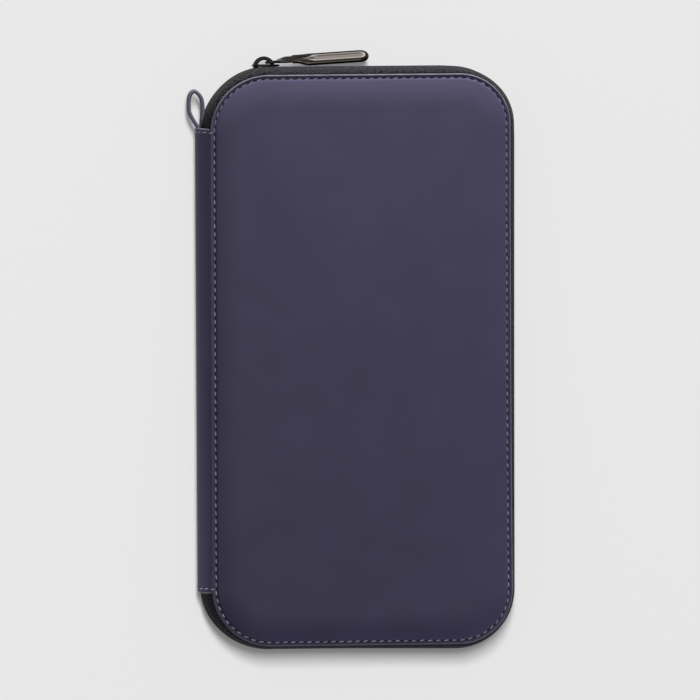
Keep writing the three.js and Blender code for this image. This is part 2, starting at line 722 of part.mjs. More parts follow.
const backCover = new THREE.Group();
backCover.name = 'back_cover';
backCover.add(
  node('back_leather', leatherPanel(BACK), COLOURS.leather, 0.62),
  node('back_padding', foamPad(BACK), COLOURS.foam, 0.95),
  node('back_board', coverPlate(BOARD_INSET, BACK, BOARD_UNDER, TUCK_TOP), COLOURS.board, 0.9),
  node('back_lining', coverPlate(LINING_INSET, BACK, LINING_UNDER, LINING_TOP), COLOURS.lining, 0.85),
  node('zip_tape_back', swept(PATH, tapeProfile(), BACK), COLOURS.tape, 0.9),
  node('zip_coil_back', coilRow(BACK), COLOURS.coil, 0.5),
  node('zip_top_stop_back', zipStop(CHAIN_START - SLIDER_LENGTH / 2 - STOP_CLEARANCE - STOP_LENGTH, BACK,
    -TAPE_SPLIT / 2), COLOURS.metal, 0.35, 1),
  node('zip_bottom_stop', zipStop(PATH_LENGTH - STOP_LENGTH, BACK, TOOTH_CROSSING), COLOURS.metal, 0.35, 1),
  node('spine_wing_back', spineWing(BACK), COLOURS.spine, 0.62),
  node('ticket_pocket', pocket(TICKET_POCKET_LENGTH, 0, BACK), COLOURS.leather, 0.7),
  node('passport_pocket', pocket(PASSPORT_POCKET_LENGTH, 1, BACK), COLOURS.leather, 0.7),
);

const frontCover = new THREE.Group();
frontCover.name = 'front_cover';
frontCover.add(
  node('front_leather', leatherPanel(FRONT), COLOURS.leather, 0.62),
  node('front_padding', foamPad(FRONT), COLOURS.foam, 0.95),
  node('front_board', coverPlate(BOARD_INSET, FRONT, BOARD_UNDER, TUCK_TOP), COLOURS.board, 0.9),
  node('front_lining', coverPlate(LINING_INSET, FRONT, LINING_UNDER, LINING_TOP), COLOURS.lining, 0.85),
  node('zip_tape_front', swept(PATH, tapeProfile(), FRONT), COLOURS.tape, 0.9),
  node('zip_coil_front', coilRow(FRONT), COLOURS.coil, 0.5),
  node('zip_top_stop_front', zipStop(CHAIN_START - SLIDER_LENGTH / 2 - STOP_CLEARANCE - STOP_LENGTH, FRONT,
    -TAPE_SPLIT / 2), COLOURS.metal, 0.35, 1),
  node('spine_wing_front', spineWing(FRONT), COLOURS.spine, 0.62),
  node('slip_pocket', pocket(SLIP_POCKET_LENGTH, 0, FRONT), COLOURS.leather, 0.7),
);
for (let order = 0; order < CARD_SLOTS; order += 1) {
  frontCover.add(node(`card_slot_${order + 1}`, cardSlot(order), COLOURS.leather, 0.7));
}

const spine = new THREE.Group();
spine.name = 'spine';
spine.add(
  node('spine_leather', spineMiddle(), COLOURS.spine, 0.62),
  node('spine_lining', spineLining(), COLOURS.lining, 0.85),
  node('lanyard_loop', strapLoop(), COLOURS.leather, 0.62),
);

const slider = new THREE.Group();
slider.name = 'slider';
slider.add(
  node('slider_body', sliderBody(), COLOURS.metal, 0.35, 1),
  node('slider_bail', bailArch(), COLOURS.metal, 0.35, 1),
);

const puller = new THREE.Group();
puller.name = 'puller';
puller.add(
  node('puller_tongue', pullerTongue(), COLOURS.metal, 0.35, 1),
  node('puller_grip', pullerGrip(), COLOURS.metal, 0.35, 1),
);

wallet.add(backCover, spine, frontCover, slider, puller);

export default wallet;
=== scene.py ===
# %% [markdown]
# # A zip-around travel document wallet
# The wallet lies closed on its back and is looked at from above. The frame brings in the imported solids
# and their joints. Visible pieces are then dressed with a finer surface; most ride on the same bodies, so
# that they open, slide and swing with them, while the two halves of the spine and its lining stay put.

import bpy
import numpy as np
from mathutils import Matrix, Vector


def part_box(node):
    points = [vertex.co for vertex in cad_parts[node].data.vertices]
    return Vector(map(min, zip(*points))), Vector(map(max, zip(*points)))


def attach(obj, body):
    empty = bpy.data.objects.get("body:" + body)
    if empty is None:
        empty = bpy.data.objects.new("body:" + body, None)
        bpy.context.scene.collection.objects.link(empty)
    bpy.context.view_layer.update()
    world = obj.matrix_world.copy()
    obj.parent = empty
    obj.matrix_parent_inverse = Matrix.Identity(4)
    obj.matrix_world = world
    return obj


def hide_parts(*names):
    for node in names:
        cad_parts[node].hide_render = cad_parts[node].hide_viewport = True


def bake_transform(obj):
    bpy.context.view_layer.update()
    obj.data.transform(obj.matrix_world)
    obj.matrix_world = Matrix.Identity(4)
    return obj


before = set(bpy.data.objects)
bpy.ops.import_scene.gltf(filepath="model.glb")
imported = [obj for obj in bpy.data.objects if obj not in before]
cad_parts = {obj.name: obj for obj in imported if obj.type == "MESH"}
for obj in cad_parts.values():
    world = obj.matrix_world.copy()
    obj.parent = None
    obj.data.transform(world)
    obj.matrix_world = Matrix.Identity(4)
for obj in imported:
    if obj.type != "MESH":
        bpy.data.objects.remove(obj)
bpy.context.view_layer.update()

TO_METRES = 0.001
FRONT, BACK = 1, -1
NAME = {FRONT: "front", BACK: "back"}
COVER = {FRONT: "front_cover", BACK: "back_cover"}

# %% [markdown]
# All sizes below are millimetres. The main ones are read off the solids, so the dress keeps fitting when
# they change. Heights are counted from the middle plane, where the front and the back cover mirror each
# other.

# %% Sizes read from the solids
def box_mm(node):
    """Lowest and highest corner of a solid, in millimetres."""
    return [np.array(corner) / TO_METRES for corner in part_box(node)]


panel_low, panel_high = box_mm("front_leather")
back_low, _ = box_mm("back_leather")
_, tape_high = box_mm("zip_tape_front")
_, spine_high = box_mm("spine_wing_front")
HALF_WIDTH, HALF_LENGTH = panel_high[:2]
MIDDLE = (panel_high[2] + back_low[2]) / 2
PLATEAU = panel_high[2] - MIDDLE
RIM_UNDER = panel_low[2] - MIDDLE
ZIP_BULGE = tape_high[0] - HALF_WIDTH
HALF_SPINE = spine_high[1]
CORNER = 23.0
CORNERS = np.array([CORNER, 20.0, 21.5, CORNER])
LEATHER = 1.4
RIM_TOP = RIM_UNDER + LEATHER
CROWN = PLATEAU - RIM_TOP
TUCK_TOP = spine_high[2] - MIDDLE
print(f"panel {2 * HALF_WIDTH:.1f} x {2 * HALF_LENGTH:.1f} x {2 * PLATEAU:.1f} mm, zip {ZIP_BULGE:.1f} mm")

# %% [markdown]
# A surface here is a grid of points. Neighbours are joined by four-sided faces, the ends are filled, and
# the whole is turned so that its faces look outwards. Whole arrays keep this quick for tens of thousands
# of points.

# %% Grids of points into meshes
SHARP = np.radians(70)


def grid_faces(rows, columns, along=False):
    """Corner numbers of the faces between neighbours: point (r, c) has the number r * columns + c."""
    r, c = (a.ravel() for a in np.meshgrid(np.arange(rows - 1 + along), np.arange(columns), indexing="ij"))
    r2, c2 = (r + 1) % rows, (c + 1) % columns
    return np.stack([r * columns + c, r * columns + c2, r2 * columns + c2, r2 * columns + c], axis=1)


def signed_volume(points, faces):
    """Sum over the faces of a . (c x (d - b)) over six, where a, b, c, d are the corners of a face."""
    a, b, c, d = (points[faces[:, k]] for k in range(4))
    return np.sum(a * np.cross(c, d - b)) / 6


def new_object(name, data):
    """An object of the scene."""
    made = bpy.data.objects.new(name, data)
    bpy.context.scene.collection.objects.link(made)
    return made


def put_mesh(name, points, faces, caps, finishes, finish_of=None, uv=None):
    """One piece of four-sided faces and flat caps; finish_of picks from the finishes for each face."""
    if signed_volume(points, faces) < 0:
        faces = faces[:, ::-1]
        caps = [cap[::-1] for cap in caps]
    mesh = bpy.data.meshes.new(name)
    mesh.from_pydata((points * TO_METRES).tolist(), [], faces.tolist() + caps)
    for finish in finishes:
        mesh.materials.append(finish)
    if finish_of is not None:
        chosen = np.concatenate([finish_of, np.zeros(len(caps), int)])
        mesh.polygons.foreach_set("material_index", chosen.astype(np.int32))
    if uv is not None:
        corner = np.empty(len(mesh.loops), np.int32)
        mesh.loops.foreach_get("vertex_index", corner)
        flat = uv.reshape(-1, 2)[corner].astype(np.float32).ravel()
        mesh.uv_layers.new(name="along").data.foreach_set("uv", flat)
    mesh.shade_smooth()
    mesh.set_sharp_from_angle(angle=SHARP)
    mesh.update()
    print(f"{name}: {len(mesh.polygons)} faces")
    return new_object(name, mesh)


def surface(name, grid, finishes, along=False, row_finish=None, uv=None):
    """A grid of shape (rows, columns, 3) as one skin, closed around. It is closed along too, or its first
    and last row are filled."""
    rows, columns = grid.shape[:2]
    faces = grid_faces(rows, columns, along)
    first = np.arange(columns)
    caps = [] if along else [first[::-1].tolist(), (first + (rows - 1) * columns).tolist()]
    picked = None if row_finish is None else np.repeat(row_finish, columns)
    return put_mesh(name, grid.reshape(-1, 3), faces, caps, finishes, picked, uv)


def copies(name, one, centres, axes, finish):
    """Many copies of one small closed grid: each is centre + x * along + y * across + z * up."""
    rows, columns = one.shape[:2]
    local = one.reshape(-1, 3)
    points = centres[:, None, :] + np.einsum("pk,nkj->npj", local, axes)
    shifts = (np.arange(len(centres)) * len(local))[:, None, None]
    faces = (grid_faces(rows, columns)[None] + shifts).reshape(-1, 4)
    ends = np.stack([np.arange(columns)[::-1], np.arange(columns) + (rows - 1) * columns])
    caps = (ends[None] + shifts).reshape(-1, columns)
    return put_mesh(name, points.reshape(-1, 3), faces, caps.tolist(), [finish])


# %% [markdown]
# A few small shapes come back in many pieces: a grain of thread or wire, a flat oval and a quarter
# ellipse.

# %% Small shapes
GRAIN_END = 0.12
STRAP_SQUARE = 0.35


def bead(half_length, half_width, half_height, rows=6, columns=8):
    """A grain: x = L cos a, y = W sin a cos b, z = H sin a sin b, with a small flat face at each end."""
    a = np.linspace(GRAIN_END, np.pi - GRAIN_END, rows)[:, None]
    b = np.linspace(0, 2 * np.pi, columns, endpoint=False)[None]
    x = half_length * np.cos(a) * np.ones_like(b)
    return np.stack([x, half_width * np.sin(a) * np.cos(b), half_height * np.sin(a) * np.sin(b)], axis=-1)


def squared(wave, power):
    """A cosine or sine pushed towards a rectangle: its sign times its size to a power below one."""
    return np.sign(wave) * np.abs(wave) ** power


def flat_section(width, thickness, points=20):
    """A flat oval: squared cosine and sine, times half the thickness and half the width."""
    a = np.linspace(0, 2 * np.pi, points, endpoint=False)
    return np.column_stack([squared(np.cos(a), STRAP_SQUARE) * thickness / 2,
                            squared(np.sin(a), STRAP_SQUARE) * width / 2])


def unit(directions):
    """Each direction over its own length."""
    return directions / np.linalg.norm(directions, axis=-1, keepdims=True)


def quarter_bow(reach, rise, steps):
    """A quarter ellipse from its top outwards: reach * sine, rise * cosine, and its outward normal."""
    turn = np.linspace(0, np.pi / 2, steps)
    normal = unit(np.stack([rise * np.sin(turn), reach * np.cos(turn)], axis=1))
    return reach * np.sin(turn), rise * np.cos(turn), normal


def both_faces(line, normal, half):
    """One coordinate of a thin section: line + normal * half, then line - normal * half walked back."""
    return np.concatenate([line + normal * half, (line - normal * half)[..., ::-1]], axis=-1)


def lifted(plan, height):
    """Points (x, y) of a plan, each with its height or all with one."""
    return np.concatenate([plan, np.broadcast_to(height, plan.shape[:-1])[..., None]], axis=-1)


def clockwise(normal):
    """The level direction a quarter turn clockwise of each outward direction."""
    return lifted(np.column_stack([normal[:, 1], -normal[:, 0]]), 0.0)


# %% [markdown]
# Finishes come next. Each is one shader with constant values on its sockets. What varies comes from noise
# or waves, as a relief or as a drift between two tones.

# %% Making finishes
GRAIN_DETAIL, MOTTLE_DETAIL = 2.0, 3.0
MOTTLE_FROM, MOTTLE_TO = 0.35, 0.65


def set_sockets(node, **values):
    """Constants straight on a node's sockets, or links from other nodes; underscores stand for spaces."""
    for name, value in values.items():
        socket = node.inputs[name.replace("_", " ")]
        if isinstance(value, bpy.types.NodeSocket):
            node.id_data.links.new(value, socket)
        else:
            socket.default_value = value
    return node


def shader_of(made):
    """The one shader of a finish."""
    return made.node_tree.nodes["Principled BSDF"]


def finish(name, colour, roughness, metallic=0.0, specular=0.5):
    """A plain shader."""
    made = bpy.data.materials.new(name)
    made.use_nodes = True
    set_sockets(shader_of(made), Base_Color=(*colour, 1), Roughness=roughness, Metallic=metallic,
                Specular_IOR_Level=specular)
    return made


def add_node(made, kind, **values):
    """A new node in a finish."""
    return set_sockets(made.node_tree.nodes.new(f"ShaderNode{kind}"), **values)


def spots(made, scale, detail):
    """Noise on Object coordinates, scale in cells per metre."""
    place = add_node(made, "TexCoord").outputs["Object"]
    return add_node(made, "TexNoise", Vector=place, Scale=scale, Detail=detail).outputs["Fac"]


def add_relief(made, value, depth, strength):
    """A bump from a value of 0 to 1, depth in metres."""
    bump = add_node(made, "Bump", Height=value, Strength=strength, Distance=depth)
    set_sockets(shader_of(made), Normal=bump.outputs["Normal"])


def add_tones(made, value, dark, light, start=0.0, end=1.0):
    """The colour goes from dark to light while a value goes from start to end."""
    ramp = add_node(made, "ValToRGB", Fac=value)
    for stop, tone, place in zip(ramp.color_ramp.elements, (dark, light), (start, end)):
        stop.color, stop.position = (*tone, 1), place
    set_sockets(shader_of(made), Base_Color=ramp.outputs["Color"])


def add_grain(made, scale, depth, strength=0.3):
    """A fine relief from noise."""
    add_relief(made, spots(made, scale, GRAIN_DETAIL), depth, strength)


def add_mottle(made, dark, light, scale):
    """The colour drifts softly between two close tones over the surface."""
    add_tones(made, spots(made, scale, MOTTLE_DETAIL), dark, light, MOTTLE_FROM, MOTTLE_TO)


# %% [markdown]
# The weave of the zip tape is two crossed waves on the tape's own UV map. The tone follows the waves:
# painted shade between the yarns and a painted highlight on them. Thicker and thinner spots in the yarn
# make the tone uneven.

# %% Woven cloth
TWILL = 0.7854
WAVINESS, WAVINESS_SCALE = 0.6, 2.0
SLUBS = 0.8
SLUB_LEAST, SLUB_MOST = 0.0, 2.0
YARN_SHADE, YARN_HIGHLIGHT, YARN_DEPTH = 0.5, 2.8, 0.0002


def product(made, first, second):
    """One value times another."""
    times = add_node(made, "Math")
    times.operation = "MULTIPLY"
    made.node_tree.links.new(first, times.inputs[0])
    made.node_tree.links.new(second, times.inputs[1])
    return times.outputs["Value"]


def add_weave(made, across, tight):
    """Relief and tone of a twill: wave times wave, and for the tone times noise, in cells per millimetre.
    The tone from the waves is painted shade between the yarns and a painted highlight on them.
    """
    place = add_node(made, "UVMap")
    place.uv_map = "along"
    uv = place.outputs["UV"]
    waves = []
    for turn in (TWILL, -TWILL):
        way = add_node(made, "Mapping", Vector=uv, Rotation=(0, 0, turn)).outputs["Vector"]
        wave = add_node(made, "TexWave", Vector=way, Scale=across, Distortion=WAVINESS,
                        Detail_Scale=WAVINESS_SCALE)
        waves.append(wave.outputs["Fac"])
    yarn = product(made, *waves)
    slubs = add_node(made, "TexNoise", Vector=uv, Scale=SLUBS).outputs["Fac"]
    uneven = add_node(made, "MapRange", Value=slubs, From_Min=MOTTLE_FROM, From_Max=MOTTLE_TO,
                      To_Min=SLUB_LEAST, To_Max=SLUB_MOST)
    add_relief(made, yarn, YARN_DEPTH, tight)
    base = np.array(shader_of(made).inputs["Base Color"].default_value[:3])
    # The tone from the waves is painted shade between the yarns and a painted highlight on them.
    add_tones(made, product(made, yarn, uneven.outputs["Result"]), YARN_SHADE * base, YARN_HIGHLIGHT * base)


# %% [markdown]
# The leather is a smooth, matt calf with a very fine grain, so it gets a soft sheen and a shallow relief.
# The thread is a lighter lilac, the tape a charcoal weave, and the puller is gunmetal with a polished
# recess. The cut edges are lightened as a painted highlight, the needle holes are painted shade, and the
# weave and the lip of the recess carry painted shade and highlight.

# %% The wallet's finishes
PLUM = np.array([0.0217, 0.0195, 0.0394])
# The cut edge is edge paint, and its colour is lighter than the leather as a painted highlight along the
# rounded edge.
EDGE_HIGHLIGHT_PLUM = np.array([0.041, 0.038, 0.054])
LOOP_PLUM = np.array([0.037, 0.034, 0.052])
calf_leather = finish("calf_leather", PLUM, 0.55, specular=0.1)
add_mottle(calf_leather, 0.96 * PLUM, 1.04 * PLUM, 60)
add_grain(calf_leather, 2600, 0.00006)
edge_paint_highlight = finish("painted_edge_highlight", EDGE_HIGHLIGHT_PLUM, 0.55, specular=0.15)
add_mottle(edge_paint_highlight, 0.85 * EDGE_HIGHLIGHT_PLUM, 1.2 * EDGE_HIGHLIGHT_PLUM, 260)
stitch_thread = finish("stitch_thread", (0.14, 0.13, 0.18), 0.7)
add_mottle(stitch_thread, (0.1, 0.092, 0.133), (0.19, 0.178, 0.235), 350)
# The needle holes are nearly black: painted shade in the holes.
needle_hole_shade = finish("needle_hole_shade", (0.008, 0.0065, 0.014), 0.9, specular=0.05)
zip_cloth = finish("zip_cloth", (0.0058, 0.0057, 0.0072), 0.95, specular=0.05)
add_weave(zip_cloth, 0.3, 0.9)
set_sockets(shader_of(zip_cloth), Sheen_Weight=0.013)
nylon = finish("nylon_coil", (0.012, 0.012, 0.013), 0.4)
gunmetal = finish("gunmetal", (0.03, 0.0265, 0.0215), 0.3, metallic=1.0)
add_grain(gunmetal, 900, 0.00002, strength=0.15)
polished = finish("polished_recess", (0.37, 0.33, 0.3), 0.22, metallic=1.0)
# A near-white metal at the lip of the recess is a painted highlight.
painted_lip_highlight = finish("painted_lip_highlight", (0.85, 0.78, 0.74), 0.3, metallic=1.0)
black_metal = finish("black_metal", (0.004, 0.004, 0.004), 0.5, specular=0.14)
loop_leather = finish("loop_leather", LOOP_PLUM, 0.5, specular=0.15)
add_mottle(loop_leather, 0.94 * LOOP_PLUM, 1.06 * LOOP_PLUM, 300)
lining_cloth = finish("lining_cloth", (0.026, 0.025, 0.034), 0.8, specular=0.25)
add_mottle(lining_cloth, (0.022, 0.021, 0.029), (0.031, 0.030, 0.041), 900)
add_grain(lining_cloth, 1500, 0.00012)
print("finishes:", len(bpy.data.materials))

# %% [markdown]
# The size that each piece of cloth and thin leather was cut to is printed. Here all of them are sewn
# or glued down tight.

# %% Printing sheet sizes
def declare_sheet(piece, width, length):
    """Prints the flat width and length in millimetres; the flat area is half of the closed piece's surface.
    """
    print(f"sheet {piece.name}: {width:.0f} x {length:.0f} mm")


# %% [markdown]
# The panel edge is a rounded rectangle. Walking round it by distance gives evenly spaced stitches and
# teeth. The walk starts in the middle of the spine side and goes clockwise, and the corners are counted
# in this order. The two on the open side are a little tighter.

# %% Walking round a rounded rectangle
def walk_legs(half_width, half_length, radii):
    """Lengths of the nine stretches: half a side, then corners of radius * pi / 2 and sides in turn."""
    a, b, c, d = np.broadcast_to(radii, 4)
    ends, sides = 2 * half_width, 2 * half_length
    return np.array([half_length - a, a * np.pi / 2, ends - a - b, b * np.pi / 2, sides - b - c,
                     c * np.pi / 2, ends - c - d, d * np.pi / 2, half_length - d])


def walk_length(*rectangle):
    """Length all the way round."""
    return walk_legs(*rectangle).sum()


def rounded_walk(half_width, half_length, radii, distance):
    """Point and outward direction at each distance: straight stretches, and arcs of length / radius."""
    radii = np.broadcast_to(radii, 4)
    lengths = walk_legs(half_width, half_length, radii)
    ends = np.cumsum(lengths)
    distance = np.mod(distance, ends[-1])
    leg = np.minimum(np.searchsorted(ends, distance, side="right"), 8)
    t = distance - (ends - lengths)[leg]
    turned = np.where(leg % 2, t / lengths[leg], 0)
    angle = (np.array([2, 2, 1, 1, 0, 0, -1, -1, -2])[leg] - turned) * np.pi / 2
    normal = np.stack([np.cos(angle), np.sin(angle)], axis=-1)
    x = [-1, 1, 1, -1] * (half_width - radii)
    y = [1, 1, -1, -1] * (half_length - radii)
    corner = np.minimum(leg // 2, 3)
    arc = np.column_stack([x, y])[corner] + radii[corner][..., None] * normal
    start = np.array([[-half_width, 0], [x[0], half_length], [half_width, y[1]], [x[2], -half_length],
                      [-half_width, y[3]]])[leg // 2]
    way = np.array([[0, 1], [1, 0], [0, -1], [-1, 0], [0, 1]])[leg // 2]
    straight = start + way * t[..., None]
    return np.where((leg % 2 == 1)[..., None], arc, straight), normal


EDGE = (HALF_WIDTH, HALF_LENGTH, CORNERS)
EDGE_LENGTH = walk_length(*EDGE)
print(f"way round the panel {EDGE_LENGTH:.0f} mm")

# %% [markdown]
# Each cover is calf leather drawn over a foam pad: a flat stitched rim, a slope that swells up from the
# stitch row and a nearly flat middle. A stretched skin over foam has no loose folds, so the swelling is a
# formula and not a simulation.

# %% Shape of a padded cover
STITCH_INSET, CHANNEL_DEPTH, CHANNEL_WIDTH = 1.6, 0.36, 0.45
CREASE_INSET, CREASE_DEPTH, CREASE_WIDTH = 0.95, 0.16, 0.16
CROWN_RUN, CROWN_POWER = CORNER * 0.55, 2.4
DOME = 0.3 * CROWN
OVERHANG, OVERHANG_SHIFT, LOW_OVERHANG = 0.55, 0.15, 0.6


def crown_at(inset):
    """Rise of the pillow, quick at the rim and level at the end of the run: 1 - (1 - t) to a power."""
    t = np.clip((inset - STITCH_INSET) / CROWN_RUN, 0, 1)
    return (CROWN - DOME) * (1 - (1 - t) ** CROWN_POWER)


def stitch_dip(inset):
    """A soft channel under the thread and a pressed crease outside it: the sum of two bell curves."""
    channel = CHANNEL_DEPTH * np.exp(-(((inset - STITCH_INSET) / CHANNEL_WIDTH) ** 2))
    return channel + CREASE_DEPTH * np.exp(-(((inset - CREASE_INSET) / CREASE_WIDTH) ** 2))


def eased(flat):
    """The leather reaches a little over the board's sides: x grows by a share of itself and a small shift,
    and more at the lower end of the open side, by the square of the way down."""
    reach = flat[..., 0] / HALF_WIDTH
    down = np.clip(-flat[..., 1] / HALF_LENGTH, 0, 1) ** 2
    shift = OVERHANG * reach + OVERHANG_SHIFT + LOW_OVERHANG * np.clip(reach, 0, 1) * down
    return flat + np.stack([shift, np.zeros_like(shift)], axis=-1)


# %% [markdown]
# A cover is built in rings, each with its distance in from the edge and its height. They start under the
# rim, go round the cut edge, which carries the edge paint lightened as a painted highlight, dip at the
# stitch row, climb the slope and shrink to the middle.

# %% Padded covers
UNDER_INSET, UNDER_SHARES = 3.0, (0.03, 0.5, 1.0)
CUT_EDGE = [(1.2, RIM_UNDER), (0.22, RIM_UNDER), (0.05, RIM_UNDER + 0.1), (0.0, RIM_UNDER + 0.3),
            (0.0, RIM_TOP - 0.45), (0.08, RIM_TOP - 0.2), (0.24, RIM_TOP - 0.06)]
INSETS = np.concatenate([np.linspace(0.4, 2.6, 23), np.linspace(3, STITCH_INSET + CROWN_RUN, 22)])
MIDDLE_SHARES = np.linspace(0.96, 0.03, 20)


def ring_at(inset, height, side, columns):
    """One closed ring at a distance in from the panel edge and a height over the middle plane."""
    at, normal = rounded_walk(*EDGE, np.arange(columns) * EDGE_LENGTH / columns)
    return lifted(eased(at - normal * inset), MIDDLE + side * height)


def padded_cover(side, columns=880):
    """All rings of a cover; the middle ones shrink to a point while the dome rises by 1 - share squared."""
    under = ring_at(UNDER_INSET, RIM_UNDER, side, columns)
    slope = list(zip(INSETS, RIM_TOP + crown_at(INSETS) - stitch_dip(INSETS)))
    middle = ring_at(*slope[-1], side, columns)
    inwards = np.array([middle * [share, share, 1] for share in MIDDLE_SHARES])
    inwards[..., 2] += side * DOME * (1 - MIDDLE_SHARES[:, None] ** 2)
    rings = [under * [share, share, 1] for share in UNDER_SHARES]
    rings += [ring_at(inset, height, side, columns) for inset, height in CUT_EDGE + slope]
    grid = np.concatenate([np.array(rings), inwards])
    # Rows of the cut edge take the edge paint, lightened as a painted highlight.
    painted = np.zeros(len(grid) - 1, int)
    first = len(UNDER_SHARES) + 1
    painted[first:first + len(CUT_EDGE) - 2 + np.sum(INSETS < CREASE_INSET / 2)] = 1
    words = NAME[side]
    piece = surface(f"{words}_padded_leather", grid, [calf_leather, edge_paint_highlight], row_finish=painted)
    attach(piece, COVER[side])
    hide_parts(f"{words}_leather", f"{words}_padding")
    return piece


covers = [padded_cover(side) for side in (FRONT, BACK)]

# %% [markdown]
# The stitches are separate short grains of thread, lying a little aslant in the channel, with a needle hole
# between each two, a near-black grain of painted shade.

# %% Stitch rows
STITCH_PITCH = 3.15
THREAD_LENGTH, THREAD_WIDTH, THREAD_HEIGHT, THREAD_RISE = 0.95, 0.28, 0.26, 0.1
SLANT, SLANT_VARIES, SIZE_VARIES, PLACE_VARIES = 0.16, 0.09, 0.1, 0.07
HOLE, HOLE_INSET, HOLE_SINK = (0.62, 0.72, 0.13), 0.32, 0.06
threads = []


def stitch_row(name, at, along, up, body, length=THREAD_LENGTH):
    """Thread grains at the given points, a little aslant; slant, size and place vary at random."""
    vary = np.random.default_rng(len(at)).uniform(-1, 1, (3, len(at), 1))
    across = np.cross(up, along)
    angle = SLANT + SLANT_VARIES * vary[0]
    slant = along * np.cos(angle) + across * np.sin(angle)
    axes = np.stack([slant * (1 + SIZE_VARIES * vary[1]), np.cross(up, slant), up], axis=1)
    thread = copies(f"{name}_thread", bead(length, THREAD_WIDTH, THREAD_HEIGHT),
                    at + across * PLACE_VARIES * vary[2], axes, stitch_thread)
    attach(thread, body)
    threads.append(thread)


def needle_holes(name, at, along, up, body):
    """Small dimples, flat grains sunk in the leather and drawn a little inwards by the thread, nearly black
    as painted shade in the holes.
    """
    axes = np.stack([along, np.cross(up, along), up], axis=1)
    holes = copies(f"{name}_holes", bead(*HOLE, rows=5), at, axes, needle_hole_shade)
    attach(holes, body)


def rim_stitches(side):
    """The row round a cover, evenly spaced along its own length, and the holes halfway between."""
    row = (HALF_WIDTH - STITCH_INSET, HALF_LENGTH - STITCH_INSET, CORNERS - STITCH_INSET)
    count = int(round(walk_length(*row) / STITCH_PITCH))
    steps = np.arange(count) * walk_length(*row) / count
    up = np.tile([0.0, 0.0, side], (count, 1))
    height = RIM_TOP - stitch_dip(STITCH_INSET) + THREAD_RISE
    for maker, offset, inset, sink in ((stitch_row, 0.0, 0.0, 0.0),
                                       (needle_holes, STITCH_PITCH / 2, HOLE_INSET, HOLE_SINK)):
        at, normal = rounded_walk(*row, steps + offset)
        place = lifted(eased(at - normal * inset), MIDDLE + side * (height - sink))
        maker(f"{NAME[side]}_rim", place, clockwise(normal), up, COVER[side])
    return count


print("stitches round each cover:", [rim_stitches(side) for side in (FRONT, BACK)])

# %% [markdown]
# The zip tape is tucked under the leather rim and bowed out to the middle of the edge. Its section is
# carried along the walk, from under one end of the spine round to the other. The UV map counts
# millimetres along and across the tape, so the weave follows it round the corners.

# %% Zip tapes
TAPE, TAPE_SPLIT, SELVEDGE = 0.7, 1.6, 0.6
TAPE_TUCK = (6.0, 3.0)
SPINE_OVERLAP = 3.0
BOW = np.array([(0, 1.33), (1, 1.33), (1.4, 0.9), (1.75, 1), (3, 0.98), (3.15, 0.64), (3.3, 0.6),
                (3.6, 0.88), (4, 1.1), (4.5, 1), (5, 0.95), (5.35, 0.95), (6, 0.85), (6.6, 0.63), (7.1, 0.6),
                (7.3, 0.8), (7.55, 1.05), (7.9, 1.5), (9, 1.5)])
BOW_EASE, BOW_SAMPLES = 7.0, 17


def tape_bow(distance):
    """Share of the usual bulge along the way round. Each row of BOW has a place, counted in sides and
    corners walked, and its share; the straight lines between them are averaged over a stretch."""
    places = np.interp(BOW[:, 0], np.arange(10), np.concatenate([[0], np.cumsum(walk_legs(*EDGE))]))
    stretch = np.linspace(-BOW_EASE, BOW_EASE, BOW_SAMPLES)
    return np.interp(np.asarray(distance)[..., None] + stretch, places, BOW[:, 1]).mean(axis=-1)


def tape_section(steps=16):
    """Middle line and normal of the section: a flat tuck, then a quarter ellipse out to the split."""
    top = TUCK_TOP - TAPE / 2
    bow, rise, normal = quarter_bow(ZIP_BULGE - TAPE / 2, top - TAPE_SPLIT / 2, steps)
    out = np.concatenate([-np.array(TAPE_TUCK), bow])
    height = np.concatenate([[top, top], TAPE_SPLIT / 2 + rise])
    return out, height, np.concatenate([[[0, 1], [0, 1]], normal])


def zip_tape(side, rows=900):
    """The section, given its thickness and a rounded selvedge, at each station of the walk."""
    out, height, normal = tape_section()
    thick = np.full(len(out), TAPE / 2)
    thick[-1] *= SELVEDGE
    section_out = both_faces(out, normal[:, 0], thick)
    section_up = both_faces(height, normal[:, 1], thick)
    reach = HALF_SPINE - SPINE_OVERLAP
    distance = np.linspace(reach, EDGE_LENGTH - reach, rows)
    at, facing = rounded_walk(*EDGE, distance)
    reach_out = np.where(section_out > 0, section_out * tape_bow(distance)[:, None], section_out)
    flat = at[:, None, :] + facing[:, None, :] * reach_out[..., None]
    span = np.concatenate([[0], np.cumsum(np.hypot(np.diff(section_out), np.diff(section_up)))])
    uv = np.stack(np.broadcast_arrays(distance[:, None], span[None]), axis=-1)
    words = NAME[side]
    piece = surface(f"{words}_zip_tape", lifted(flat, MIDDLE + side * section_up), [zip_cloth], uv=uv)
    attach(piece, COVER[side])
    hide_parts(f"zip_tape_{words}")
    declare_sheet(piece, span[-1] / 2, distance[-1] - distance[0])


for side in (FRONT, BACK):
    zip_tape(side)

# %% [markdown]
# A reverse-coil zip hides its teeth behind the tape: from outside only a fine line of meshing loops shows
# in the split. Each loop is a grain that reaches from under its own tape to just past the middle,
# and the two rows stand half a pitch apart.

# %% Coil teeth
COIL_PITCH, COIL_END, COIL_DEPTH = 1.6, 4.0, 0.8
TOOTH_REACH, TOOTH_CROSSING = 2.5, 0.42
TOOTH_WIDTH, TOOTH_DEPTH = 0.36, 0.6
slider_low, slider_high = box_mm("slider_body")
SLIDER_X = (slider_low[0] + slider_high[0]) / 2


